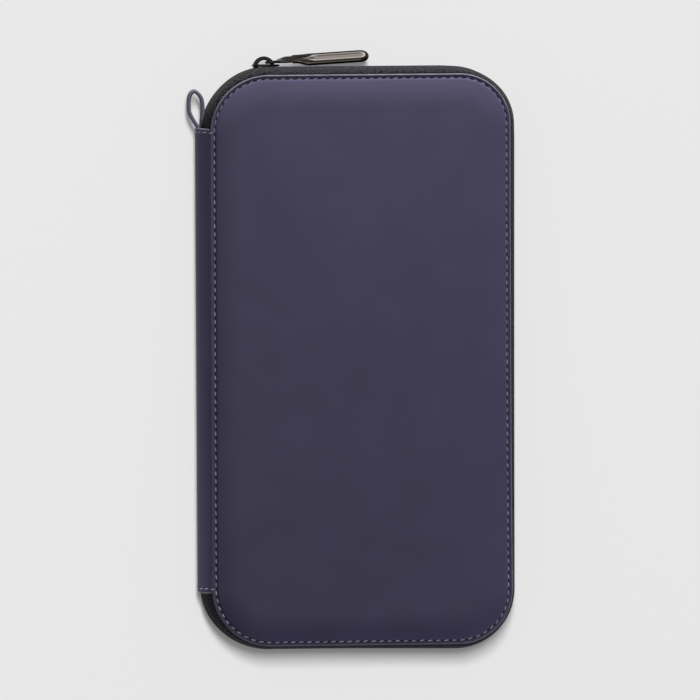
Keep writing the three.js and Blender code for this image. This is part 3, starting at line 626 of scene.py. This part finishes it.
def coil_row(side):
    """Grains across the split at even steps, from the slider round to the lower end of the spine."""
    start = walk_legs(*EDGE)[:2].sum() + SLIDER_X + HALF_WIDTH - CORNERS[0]
    stop = EDGE_LENGTH - HALF_SPINE - COIL_END
    distance = np.arange(start, stop, COIL_PITCH) + (COIL_PITCH / 2 if side == BACK else 0)
    at, facing = rounded_walk(*EDGE, distance)
    depth = (ZIP_BULGE * tape_bow(distance) - TAPE - COIL_DEPTH)[:, None]
    centres = lifted(at + facing * depth, MIDDLE + side * (TOOTH_REACH - TOOTH_CROSSING) / 2)
    count = len(distance)
    axes = np.stack([np.tile([0.0, 0.0, 1.0], (count, 1)), clockwise(facing), lifted(facing, 0.0)], axis=1)
    words = NAME[side]
    loop = bead((TOOTH_REACH + TOOTH_CROSSING) / 2, TOOTH_WIDTH, TOOTH_DEPTH, rows=7)
    piece = copies(f"{words}_zip_coil", loop, centres, axes, nylon)
    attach(piece, COVER[side])
    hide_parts(f"zip_coil_{words}")
    return count


print("teeth in each row:", [coil_row(side) for side in (FRONT, BACK)])

# %% [markdown]
# The spine is one strip of leather, glued under both covers and bowed between them. It bends along two
# lines when the wallet opens, so it is made in two halves that meet at its middle, each running from
# under its cover round to the middle plane.

# %% Spine
SPINE_WALL, SPINE_TUCK, TUCK_STEPS = 0.9, 4.0, 3
SPINE_EXTRA, SPINE_SPREAD = 0.2, 0.15
spine_leather_low, _ = box_mm("spine_leather")
SPINE_BULGE = -HALF_WIDTH - spine_leather_low[0] + SPINE_EXTRA
LEAST_WALL = 0.05


def bowed_strip(name, side, bulge, rise, wall, half_length, tuck, finishes, taper=0.6, rows=260, steps=26):
    """Half of a strip: a flat tuck and a quarter ellipse to the middle plane, carried along the spine. Its
    wall thins as a quarter circle over the last stretch, which rounds the two ends."""
    top = rise - wall / 2
    bow, fall, normal = quarter_bow(bulge - wall / 2, top, steps)
    out = np.concatenate([-np.linspace(tuck, 0, TUCK_STEPS + 1)[:-1], bow])
    height = np.concatenate([np.full(TUCK_STEPS, top), fall])
    normal = np.concatenate([np.tile([0.0, 1.0], (TUCK_STEPS, 1)), normal])
    y = half_length * np.sin(np.linspace(-np.pi / 2, np.pi / 2, rows))
    room = np.clip((half_length - np.abs(y)) / taper, 0, 1)
    half = (wall / 2 * np.maximum(np.sqrt(1 - (1 - room) ** 2), LEAST_WALL))[:, None]
    spread = 1 + SPINE_SPREAD / bulge * (y / half_length)[:, None]
    x = -HALF_WIDTH - both_faces(np.where(out > 0, out * spread, out), normal[:, 0], half)
    z = MIDDLE + side * both_faces(height, normal[:, 1], half)
    grid = np.stack([x, np.broadcast_to(y[:, None], x.shape), z], axis=-1)
    # The rounded ends take the last finish; on the leather that is the edge paint lightened as a painted
    # highlight.
    edge = (np.abs(y[:-1]) > half_length - taper).astype(int) * (len(finishes) - 1)
    piece = surface(name, grid, finishes, row_finish=edge)
    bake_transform(piece)
    declare_sheet(piece, np.hypot(np.diff(out), np.diff(height)).sum(), 2 * half_length)
    return piece


for side in (FRONT, BACK):
    words = NAME[side]
    made = bowed_strip(f"{words}_spine_half", side, SPINE_BULGE, TUCK_TOP, SPINE_WALL, HALF_SPINE,
                       SPINE_TUCK, [calf_leather, edge_paint_highlight])
    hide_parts(f"spine_wing_{words}", "spine_leather")

# %% [markdown]
# A row of stitches closes the strip at each end, across its width.

# %% Stitches at the ends of the spine
UPPER, LOWER = 1, -1
END_NAME, END_INSET = {UPPER: "upper", LOWER: "lower"}, {UPPER: 1.5, LOWER: 2.0}
END_TURNS = np.radians([28, 52, 76, 104, 128, 152])
NEAR_COVER, NEAR_SPINE = 0.6, 0.97
TACK_OUT, TACK_SINK, TACK_LENGTH = 0.05, 0.05, 0.9


def spine_end_stitches(end):
    """Grains round the bow of the strip, close to its end; the ones near a cover ride with that cover, and a
    last one on each side tacks the strip to the rim."""
    turn = END_TURNS
    y = end * (HALF_SPINE - END_INSET[end])
    normal = unit(np.column_stack([-np.sin(turn) * TUCK_TOP, 0 * turn, np.cos(turn) * SPINE_BULGE]))
    at = np.column_stack([-HALF_WIDTH - SPINE_BULGE * np.sin(turn), np.full(len(turn), y),
                          MIDDLE + TUCK_TOP * np.cos(turn)])
    along = np.cross(normal, [0.0, 1.0, 0.0])
    words = END_NAME[end]
    for body, chosen in (("front_cover", turn < NEAR_COVER), ("back_cover", turn > np.pi - NEAR_COVER),
                         ("spine", np.abs(turn - np.pi / 2) < NEAR_SPINE)):
        stitch_row(f"spine_{words}_{body}", at[chosen], along[chosen], normal[chosen], body)
    for side in (FRONT, BACK):
        tack = np.array([[-HALF_WIDTH - TACK_OUT, y, MIDDLE + side * (RIM_TOP - TACK_SINK)]])
        stitch_row(f"tack_{words}_{COVER[side]}", tack, np.array([[1.0, 0.0, 0.0]]),
                   np.array([[0.0, 0.0, side]]), COVER[side], TACK_LENGTH)


for end in (UPPER, LOWER):
    spine_end_stitches(end)

# %% [markdown]
# The wrist-strap loop is a narrow strip of leather bent to a drop, with both tails held inside the upper
# end of the spine. A smooth curve runs through a few points of its middle line, and a flat section
# follows it.

# %% Strap loop
LOOP_STRIP, LOOP_WIDTH, LOOP_SHIFT = 1.55, 4.4, 0.7
LOOP_DROP = np.array([(0.05, -0.13), (0.08, 0.03), (0.02, 0.3), (0, 0.58), (0.08, 0.79), (0.29, 0.92),
                      (0.6, 1), (0.86, 0.93), (0.99, 0.78), (1, 0.6), (0.97, 0.44), (0.77, 0.27),
                      (0.55, 0.13), (0.35, 0.01), (0.31, -0.13)])
loop_low, loop_high = box_mm("lanyard_loop")


def smooth_line(points, count):
    """A curve through all points: each stretch is the cubic that leaves and arrives along its neighbours."""
    p = np.concatenate([[2 * points[0] - points[1]], points, [2 * points[-1] - points[-2]]])
    u = np.linspace(0, len(p) - 3 - 1e-9, count)
    k = u.astype(int)
    t = (u - k)[:, None]
    a, b, c, d = p[k], p[k + 1], p[k + 2], p[k + 3]
    bend, swing = 2 * a - 5 * b + 4 * c - d, 3 * b - a - 3 * c + d
    return 0.5 * (2 * b + (c - a) * t + bend * t ** 2 + swing * t ** 3)


def strap_loop(steps=150):
    """The flat section at each point of the drop. LOOP_DROP holds shares of the drop's width, counted from
    its right edge, and of its height over the spine's end."""
    half = LOOP_STRIP / 2
    right = loop_high[0] + LOOP_SHIFT - half
    across = right - LOOP_DROP[:, 0] * (loop_high[0] - loop_low[0] - LOOP_STRIP)
    upwards = HALF_SPINE + LOOP_DROP[:, 1] * (loop_high[1] - half - HALF_SPINE)
    line = smooth_line(np.column_stack([across, upwards]), steps)
    tangent = unit(np.gradient(line, axis=0))
    normal = np.column_stack([tangent[:, 1], -tangent[:, 0]])
    section = flat_section(LOOP_WIDTH, LOOP_STRIP)
    flat = line[:, None, :] + normal[:, None, :] * section[None, :, :1]
    piece = surface("strap_loop", lifted(flat, MIDDLE + section[:, 1]), [loop_leather])
    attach(piece, "spine")
    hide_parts("lanyard_loop")


strap_loop()

# %% [markdown]
# Slider, bail and puller are cast metal with softly rounded edges. A plate is an outline that shrinks a
# little as it turns over its upper and lower edge; a bar is a rounded section carried along a line.

# %% Plates with rounded edges
FACE_GAP = 0.001
FACE_SHARES = (0.02, 0.6)


def outline_normals(outline):
    """Outward directions of a closed counter-clockwise outline from its neighbours on both sides."""
    way = np.roll(outline, -1, axis=0) - np.roll(outline, 1, axis=0)
    return unit(np.column_stack([way[:, 1], -way[:, 0]]))


def even_outline(corners, count):
    """Evenly spaced points along a closed line through the corners."""
    loop = np.vstack([corners, corners[:1]])
    along = np.concatenate([[0], np.cumsum(np.linalg.norm(np.diff(loop, axis=0), axis=1))])
    at = np.linspace(0, along[-1], count, endpoint=False)
    return np.column_stack([np.interp(at, along, loop[:, k]) for k in range(2)])


def rounded_plate(outline, low, high, radius, steps=5):
    """Rings of (x, y, height) over the outline: middle, lower edge, upper edge, middle. An edge is a quarter
    round: inset by radius * (1 - sine), height changed by radius * (1 - cosine)."""
    normal = outline_normals(outline)
    turn = np.linspace(0, np.pi / 2, steps)
    edge = list(zip(radius * (1 - np.sin(turn)), radius * (1 - np.cos(turn))))
    middle = outline.mean(axis=0)
    face = [(outline - normal * (radius + FACE_GAP) - middle) * share + middle for share in FACE_SHARES]
    rings = [lifted(plan, low) for plan in face]
    rings += [lifted(outline - normal * inset, low + drop) for inset, drop in edge]
    rings += [lifted(outline - normal * inset, high - drop) for inset, drop in edge[::-1]]
    rings += [lifted(plan, high) for plan in face[::-1]]
    return np.stack(rings)


def stand_up(grid, x, out, roll=0.0, pitch=0.0):
    """Plates are drawn with (x, width, thickness); here thickness turns outwards along +Y, then the plate is
    rolled about its length, pitched about its hinge and moved to (x, out) on the middle plane."""
    lengthways, width, thick = np.moveaxis(grid, -1, 0)
    r, p = np.radians(roll), np.radians(pitch)
    up = thick * np.cos(r) + width * np.sin(r)
    side = -width * np.cos(r) + thick * np.sin(r)
    return np.stack([x + lengthways * np.cos(p) - up * np.sin(p),
                     HALF_LENGTH + out + lengthways * np.sin(p) + up * np.cos(p), MIDDLE + side], axis=-1)


# %% [markdown]
# The slider's two plates run above and below the zip, and a post between them parts the tapes at the
# mouth.

# %% Slider
SLIDER_LENGTH = slider_high[0] - slider_low[0]
SLIDER_MOUTH = slider_high[2] - slider_low[2]
PLATE, PLATE_ROUND, PLATE_SQUARE, PLATE_TAPER = 0.7, 0.28, 0.7, 0.13
PLATE_TOP = slider_high[1] - HALF_LENGTH
PLATE_LOW = slider_low[1] - HALF_LENGTH
POST = np.array([[-3.4, -0.5], [-2.8, 0], [-3.4, 0.5], [-4.9, 0.3], [-4.9, -0.3]])
POST_SINK, POST_ROUND = 0.5, 0.05


def slider_plate(name, low, high):
    """A shield: wide at the mouth, narrowing to a round tail."""
    a = np.linspace(0, 2 * np.pi, 72, endpoint=False)
    x = SLIDER_LENGTH / 2 * squared(np.cos(a), PLATE_SQUARE)
    half = SLIDER_MOUTH / 2 * (1 - PLATE_TAPER * (x / (SLIDER_LENGTH / 2) + 1))
    outline = np.column_stack([x, half * squared(np.sin(a), PLATE_SQUARE)])
    grid = rounded_plate(outline, low, high, PLATE_ROUND)
    return surface(name, stand_up(grid, SLIDER_X, 0), [black_metal])


upper_plate = slider_plate("slider_upper_plate", PLATE_TOP - PLATE, PLATE_TOP)
lower_plate = slider_plate("slider_lower_plate", PLATE_LOW, PLATE_LOW + PLATE)
post_grid = rounded_plate(even_outline(POST, 60), PLATE_LOW + POST_SINK, PLATE_TOP - POST_SINK, POST_ROUND)
post = surface("slider_post", stand_up(post_grid, SLIDER_X, 0), [black_metal])
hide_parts("slider_body")
for piece in (upper_plate, lower_plate, post):
    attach(piece, "slider")

# %% [markdown]
# The bail is the small arch on the upper plate. The puller's eye hangs on it.

# %% Bail
BAIL_RADIUS, BAIL_BAR, BAIL_WIDTH, BAIL_X = 4.4, 1.5, 2.0, -0.75
BAIL_SINK, BAIL_FOOT, FOOT_SWELL = 1.15, 0.4, 0.15


def bail():
    """A round arch over the upper plate with an oval bar, thicker towards its feet by the square of the
    cosine."""
    foot = np.arcsin((BAIL_SINK - BAIL_FOOT) / BAIL_RADIUS)
    turn = np.linspace(np.pi - foot, foot, 60)
    bar = BAIL_BAR * (1 + FOOT_SWELL * np.cos(turn)[:, None, None] ** 2)
    centre = np.array([SLIDER_X + BAIL_X, HALF_LENGTH + PLATE_TOP - BAIL_SINK])
    normal = np.column_stack([np.cos(turn), np.sin(turn)])
    section = flat_section(BAIL_WIDTH, 1.0, 18)
    flat = centre + normal[:, None, :] * (BAIL_RADIUS + bar * (section[None, :, :1] - 0.5))
    piece = surface("slider_arch", lifted(flat, MIDDLE + section[:, 1]), [black_metal])
    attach(piece, "slider")
    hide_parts("slider_bail")
    return piece


arch = bail()

# %% [markdown]
# The puller hangs on the bail by an eye. Its tongue twists and widens into a flat grip with a rounded
# end.

# %% Eye and tongue of the puller
PITCH, ROLL = 3.4, 31.0
EYE_BAR, EYE_DEPTH, EYE_SQUARE, EYE_GAP = 1.0, 0.95, 0.6, 0.1
EYE_LENGTH, EYE_WIDTH, EYE_SHIFT = 2.1, 1.95, 0.3
EYE_X, EYE_OUT = SLIDER_X + EYE_SHIFT, PLATE_TOP + EYE_GAP + np.hypot(EYE_BAR, EYE_BAR) / 2
TONGUE_LENGTH, TONGUE_WIDTH, TONGUE, TONGUE_ROUND, TONGUE_LAP = 10.2, 3.6, 1.0, 0.3, 1.0
ROOT_START, ROOT_END, ROOT_WIDTH = 4.0, 5.4, 4.0
TWIST_START, TWIST_END, JOGGLE = 3.6, 7.5, 0.66


def eye_ring():
    """A flat oval bar carried round a rounded ring: the eye that holds on to the bail."""
    a = np.linspace(0, 2 * np.pi, 64, endpoint=False)
    line = np.column_stack([EYE_LENGTH + EYE_LENGTH * squared(np.cos(a), EYE_SQUARE),
                            EYE_WIDTH * squared(np.sin(a), EYE_SQUARE)])
    section = flat_section(EYE_DEPTH, EYE_BAR, 14)
    flat = line[:, None, :] + outline_normals(line)[:, None, :] * section[None, :, :1]
    grid = stand_up(lifted(flat, section[:, 1]), EYE_X, EYE_OUT, 0, PITCH)
    return surface("puller_eye", grid, [black_metal], along=True)


def tongue_bar():
    """The bar between the level eye and the leaning grip: its roll and its rise to the neck grow evenly."""
    half, end = TONGUE_WIDTH / 2, TONGUE_LENGTH + TONGUE_LAP
    corners = np.array([[ROOT_START, -ROOT_WIDTH / 2], [ROOT_END, -half], [end, -half], [end, half],
                        [ROOT_END, half], [ROOT_START, ROOT_WIDTH / 2]])
    grid = rounded_plate(even_outline(corners, 120), -TONGUE / 2, TONGUE / 2, TONGUE_ROUND)
    share = np.clip((grid[..., 0] - TWIST_START) / (TWIST_END - TWIST_START), 0, 1)
    grid[..., 2] += JOGGLE * share
    return surface("puller_bar", stand_up(grid, EYE_X, EYE_OUT, ROLL * share, PITCH), [gunmetal])


# %% [markdown]
# A long polished recess runs along both faces of the grip; the two rows at its lip are a painted highlight.
# The grip is a stack of outlines: from the middle of one recess out to its lip, round the side of the blade,
# and into the recess of the other face.

# %% Grip of the puller
GRIP_LENGTH, GRIP_WIDTH, GRIP, GRIP_ROUND, GRIP_FLAT = 30.5, 7.0, 1.6, 0.5, 0.8
NECK, NECK_WIDTH, SHOULDER = 1.2, 4.5, 5.4
GRIP_START, GRIP_END = TONGUE_LENGTH, TONGUE_LENGTH + GRIP_LENGTH
RECESS_START, RECESS_TAPER, RECESS_BORDER, RECESS_DEPTH = 4.4, 5.0, 1.45, 0.4
RECESS_TIP, RECESS_RUN_IN, RECESS_RUN_OUT = 0.12, 3.0, 2.2
RECESS_SHARES = (0.0, 0.14, 0.28, 0.45, 0.65, 0.85, 0.97)
LIP_HIGHLIGHT_ROWS = 2


def smooth_step(share):
    """From 0 to 1 without a kink: 3t^2 - 2t^3."""
    t = np.clip(share, 0, 1)
    return t * t * (3 - 2 * t)


def blade_outline(start, end, narrow, wide, neck, shoulder, count=180):
    """A blade: half width narrow for the neck, a smooth step to wide, and a half-round end."""
    x = np.linspace(start, end - wide, 80)
    half = narrow + (wide - narrow) * smooth_step((x - start - neck) / shoulder)
    a = np.linspace(-np.pi / 2, np.pi / 2, 40)
    nose = np.column_stack([end - wide + wide * np.cos(a), wide * np.sin(a)])
    edge = np.vstack([np.column_stack([x, -half]), nose, np.column_stack([x, half])[::-1]])
    return even_outline(edge, count)


def grip_outline(inset):
    """The blade of the grip, drawn in by a distance."""
    return blade_outline(GRIP_START + inset, GRIP_END - inset, NECK_WIDTH / 2 - inset,
                         GRIP_WIDTH / 2 - inset, NECK, SHOULDER)


def grip_rings(direction):
    """One face of the grip from the rim inwards: flat rim, lip of the recess and its floor, a sine deep."""
    rings = [lifted(grip_outline(inset), GRIP / 2 * direction) for inset in (GRIP_ROUND, GRIP_FLAT)]
    for share in RECESS_SHARES:
        outline = blade_outline(GRIP_START + RECESS_START + RECESS_RUN_IN * share,
                                GRIP_END - RECESS_BORDER - RECESS_RUN_OUT * share, RECESS_TIP,
                                (GRIP_WIDTH / 2 - RECESS_BORDER) * (1 - share), 0, RECESS_TAPER)
        height = GRIP / 2 - RECESS_DEPTH * np.sin(share * np.pi / 2)
        rings.append(lifted(outline, height * direction))
    return rings


def grip_plate():
    """All rings of the grip, its side a half circle; the neck is set a little higher than the blade."""
    sides = [lifted(grip_outline(GRIP_ROUND * (1 - np.sin(turn))), -np.cos(turn) * GRIP / 2)
             for turn in np.linspace(0, np.pi, 7)[1:-1]]
    grid = np.stack(grip_rings(-1)[::-1] + sides + grip_rings(1))
    grid[..., 2] += JOGGLE * (1 - smooth_step((grid[..., 0] - GRIP_START - NECK) / SHOULDER))
    # Rows of the recess are polished metal; the rows at its lip carry the painted highlight.
    recess_and_highlight_rows = np.zeros(len(grid) - 1, int)
    steps = len(RECESS_SHARES) - 1
    recess_and_highlight_rows[:steps] = recess_and_highlight_rows[-steps:] = 1
    recess_and_highlight_rows[steps - LIP_HIGHLIGHT_ROWS:steps] = recess_and_highlight_rows[-steps:LIP_HIGHLIGHT_ROWS - steps] = 2
    return surface("puller_grip_plate", stand_up(grid, EYE_X, EYE_OUT, ROLL, PITCH),
                   [gunmetal, polished, painted_lip_highlight], row_finish=recess_and_highlight_rows)


eye, bar, grip = eye_ring(), tongue_bar(), grip_plate()
for piece in (eye, bar, grip):
    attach(piece, "puller")
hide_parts("puller_tongue")
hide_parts("puller_grip")

# %% [markdown]
# Inside, each cover has a cloth lining with leather pockets laid on it. They are thin plates with rounded
# edges, sewn down along three sides and open at the fourth.

# %% Linings and pockets
LINING_CORNER, LINING_ROUND = CORNER - 1.5, 0.25
POCKET_CORNER, CARD_CORNER, POCKET_ROUND = 12.0, 3.0, 0.3
POCKET_STITCH_INSET, POCKET_THREAD, POCKET_THREAD_RISE = 2.2, 1.0, 0.05
POCKETS = {BACK: ["ticket_pocket", "passport_pocket"],
           FRONT: ["slip_pocket"] + [f"card_slot_{k}" for k in (1, 2, 3, 4)]}


def rounded_box(low, high, radius, count=400):
    """Outline of a rounded rectangle between two corners, counter-clockwise."""
    half = (high - low)[:2] / 2
    walk, _ = rounded_walk(*half, radius, -np.arange(count) * walk_length(*half, radius) / count)
    return walk + ((high + low) / 2)[:2]


def inner_sheet(node, side, radius, material, slot, rounding):
    """A thin plate in the space of a solid with rounded edges; on leather they get edge paint lightened as a
    painted highlight.
    """
    low, high = box_mm(node)
    grid = rounded_plate(rounded_box(low, high, radius), low[2], high[2], rounding)
    edge = np.zeros(len(grid) - 1, int)
    edge[2:-2] = slot == "leather"
    # On leather the edge rows are lightened as a painted highlight.
    piece = surface(f"{node}_piece", grid, [material, edge_paint_highlight], row_finish=edge)
    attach(piece, COVER[side])
    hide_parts(node)
    declare_sheet(piece, *(high - low)[:2])
    return low, high


def pocket_stitches(node, side, low, high, radius):
    """Stitches along the two sides and the foot of a pocket and halfway round the corners of its mouth, on
    the face that looks into the wallet."""
    half = (high - low)[:2] / 2 - POCKET_STITCH_INSET
    row = (*half, radius - POCKET_STITCH_INSET)
    bend = row[2] * np.pi / 2
    mouth_start = half[1] - row[2] + bend / 2
    mouth_end = mouth_start + bend + 2 * (half[0] - row[2])
    count = int((walk_length(*row) - mouth_end + mouth_start) / STITCH_PITCH)
    flat, normal = rounded_walk(*row, np.linspace(mouth_end, mouth_start + walk_length(*row), count))
    face = high[2] if side == BACK else low[2]
    at = lifted(flat + ((low + high) / 2)[:2], face - side * POCKET_THREAD_RISE)
    up = np.tile([0.0, 0.0, -side], (count, 1))
    stitch_row(f"{node}_row", at, clockwise(normal), up, COVER[side], POCKET_THREAD)


for side, pockets in POCKETS.items():
    inner_sheet(f"{NAME[side]}_lining", side, LINING_CORNER, lining_cloth, "lining", LINING_ROUND)
    for node in pockets:
        radius = CARD_CORNER if "card" in node else POCKET_CORNER
        low, high = inner_sheet(node, side, radius, calf_leather, "leather", POCKET_ROUND)
        pocket_stitches(node, side, low, high, radius)

# %% [markdown]
# The lining runs on over the inside of the spine, in two halves like the leather outside.

# %% Spine lining
LINING_WALL, LINING_TUCK, LINING_GAP = 0.6, 1.4, 0.1
INWARDS = SPINE_WALL + LINING_GAP
_, lining_high = box_mm("spine_lining")
for side in (FRONT, BACK):
    made = bowed_strip(f"{NAME[side]}_spine_lining_half", side, SPINE_BULGE - INWARDS, TUCK_TOP - INWARDS,
                       LINING_WALL, lining_high[1], LINING_TUCK, [lining_cloth])
    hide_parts("spine_lining")

# %% [markdown]
# The stops at the ends of the zip and the boards inside the covers keep their solids and get a
# finish.

# %% Small metal stops and hidden boards
for material, names in ((gunmetal, ("zip_top_stop_front", "zip_top_stop_back", "zip_bottom_stop")),
                        (lining_cloth, ("front_board", "back_board"))):
    for name in names:
        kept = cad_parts[name].data.materials
        kept.clear()
        kept.append(material)

# %% [markdown]
# The stage is a pale floor under an even sky. The floor glows a little, like a light table, which keeps
# the shadows short.

# %% Floor and sky
FLOOR_TONE, FLOOR_GLOW, FLOOR_HALF = 0.75, 0.15, 20.0
SKY = 0.12
floor_finish = finish("pale_floor", (FLOOR_TONE,) * 3, 0.9, specular=0.0)
set_sockets(shader_of(floor_finish), Emission_Color=(1, 1, 1, 1), Emission_Strength=FLOOR_GLOW)
floor_mesh = bpy.data.meshes.new("floor")
floor_corners = [(x * FLOOR_HALF, y * FLOOR_HALF, 0) for x, y in ((-1, -1), (1, -1), (1, 1), (-1, 1))]
floor_mesh.from_pydata(floor_corners, [], [(0, 1, 2, 3)])
floor_mesh.materials.append(floor_finish)
floor = new_object("floor", floor_mesh)

world = bpy.data.worlds.new("studio")
world.use_nodes = True
set_sockets(world.node_tree.nodes["Background"], Color=(1, 1, 1, 1), Strength=SKY)
bpy.context.scene.world = world

# %% [markdown]
# A wide soft key from beyond the top end makes the upper slope of the pillow shine and throws the shadow
# below the lower edge. A near lamp makes the leather fall off towards the lower end. Two weak fills lie
# low: one lifts the spine, the other the lower end of the open side. The three small lamps are flagged
# off the floor, the metal and the covers or threads that they would make too bright.

# %% Lamps
KEY_TILT, KEY_TURN, KEY_DISTANCE, KEY_POWER = 18.0, -12.0, 8.0, 512.0
KEY_SIZE, NEAR_SIZE, FILL_SIZE = (0.9, 2.7), (0.16, 0.16), (0.09, 0.09)
NEAR_POWER, NEAR_PLACE, NEAR_AIM = 26.0, (0.12, 0.65, 0.125), (0, 0.02, 0.02)
NEAR_TINT = (1, 0.99, 0.88)
SIDE_POWER, SIDE_PLACE, SIDE_AIM = 4.4, (-0.55, -0.5, 0.05), (-0.06, -0.03, 0.012)
FOOT_POWER, FOOT_PLACE, FOOT_AIM = 10.0, (0.5, -0.6, 0.1), (0.02, -0.06, 0.02)


def aimed(place, aim, upwards=(0, 0, 1)):
    """Turn and place for a lamp or camera: its own -Z looks at the aim, its X stays level."""
    back = unit(np.array(place, float) - aim)
    side = unit(np.cross(upwards, back))
    turn = np.eye(4)
    turn[:3] = np.column_stack([side, np.cross(back, side), back, place])
    return Matrix(turn.tolist())


def lamp(name, power, place, aim, size):
    """A soft rectangular lamp at a place, facing a point and hidden from the camera."""
    light = bpy.data.lights.new(name, "AREA")
    light.energy, light.shape = power, "RECTANGLE"
    light.size, light.size_y = size
    holder = new_object(name, light)
    holder.matrix_world = aimed(place, aim)
    holder.visible_camera = False
    return holder


def keep_off(light, pieces):
    """The lamp neither lights these pieces nor casts their shadows."""
    flag = bpy.data.collections.new(f"kept_off_{light.name}")
    for piece in pieces:
        flag.objects.link(piece)
    for kept in flag.collection_objects:
        kept.light_linking.link_state = "EXCLUDE"
    light.light_linking.receiver_collection = light.light_linking.blocker_collection = flag


tilt, turn = np.radians([KEY_TILT, KEY_TURN])
key_way = np.array([np.sin(tilt) * np.sin(turn), np.sin(tilt) * np.cos(turn), np.cos(tilt)])
lamp("key_light", KEY_POWER, KEY_DISTANCE * key_way, (0, 0, 0), KEY_SIZE)
near = lamp("near_light", NEAR_POWER, NEAR_PLACE, NEAR_AIM, NEAR_SIZE)
near.data.color = NEAR_TINT
side_fill = lamp("side_fill", SIDE_POWER, SIDE_PLACE, SIDE_AIM, FILL_SIZE)
foot_fill = lamp("foot_fill", FOOT_POWER, FOOT_PLACE, FOOT_AIM, FILL_SIZE)
near.visible_glossy = foot_fill.visible_glossy = False
shaded = [floor, upper_plate, lower_plate, post, arch, eye, bar, grip]
for light, pieces in ((near, threads), (side_fill, covers), (foot_fill, threads)):
    keep_off(light, shaded + pieces)
print("floor and lights set")

# %% [markdown]
# The camera looks down on the front cover through a long lens, from a little to the spine side and the
# top end.

# %% Camera
FRAME_WIDTH, DISTANCE, SENSOR = 0.27635, 6.0, 36
AIM = np.array([-0.0044, 0.0041, 0.022])
TOWARDS_SPINE, TOWARDS_TOP = 6.0, 4.0
LEVEL = (0.0036, 1, 0)
back = np.append(np.tan(np.radians([-TOWARDS_SPINE, TOWARDS_TOP])), 1.0)
camera_data = bpy.data.cameras.new("camera")
camera_data.sensor_width = SENSOR
camera_data.lens = SENSOR * DISTANCE / FRAME_WIDTH
camera = new_object("camera", camera_data)
camera.matrix_world = aimed(AIM + unit(back) * DISTANCE, AIM, LEVEL)
bpy.context.scene.camera = camera
bpy.context.scene.view_settings.view_transform = "Standard"
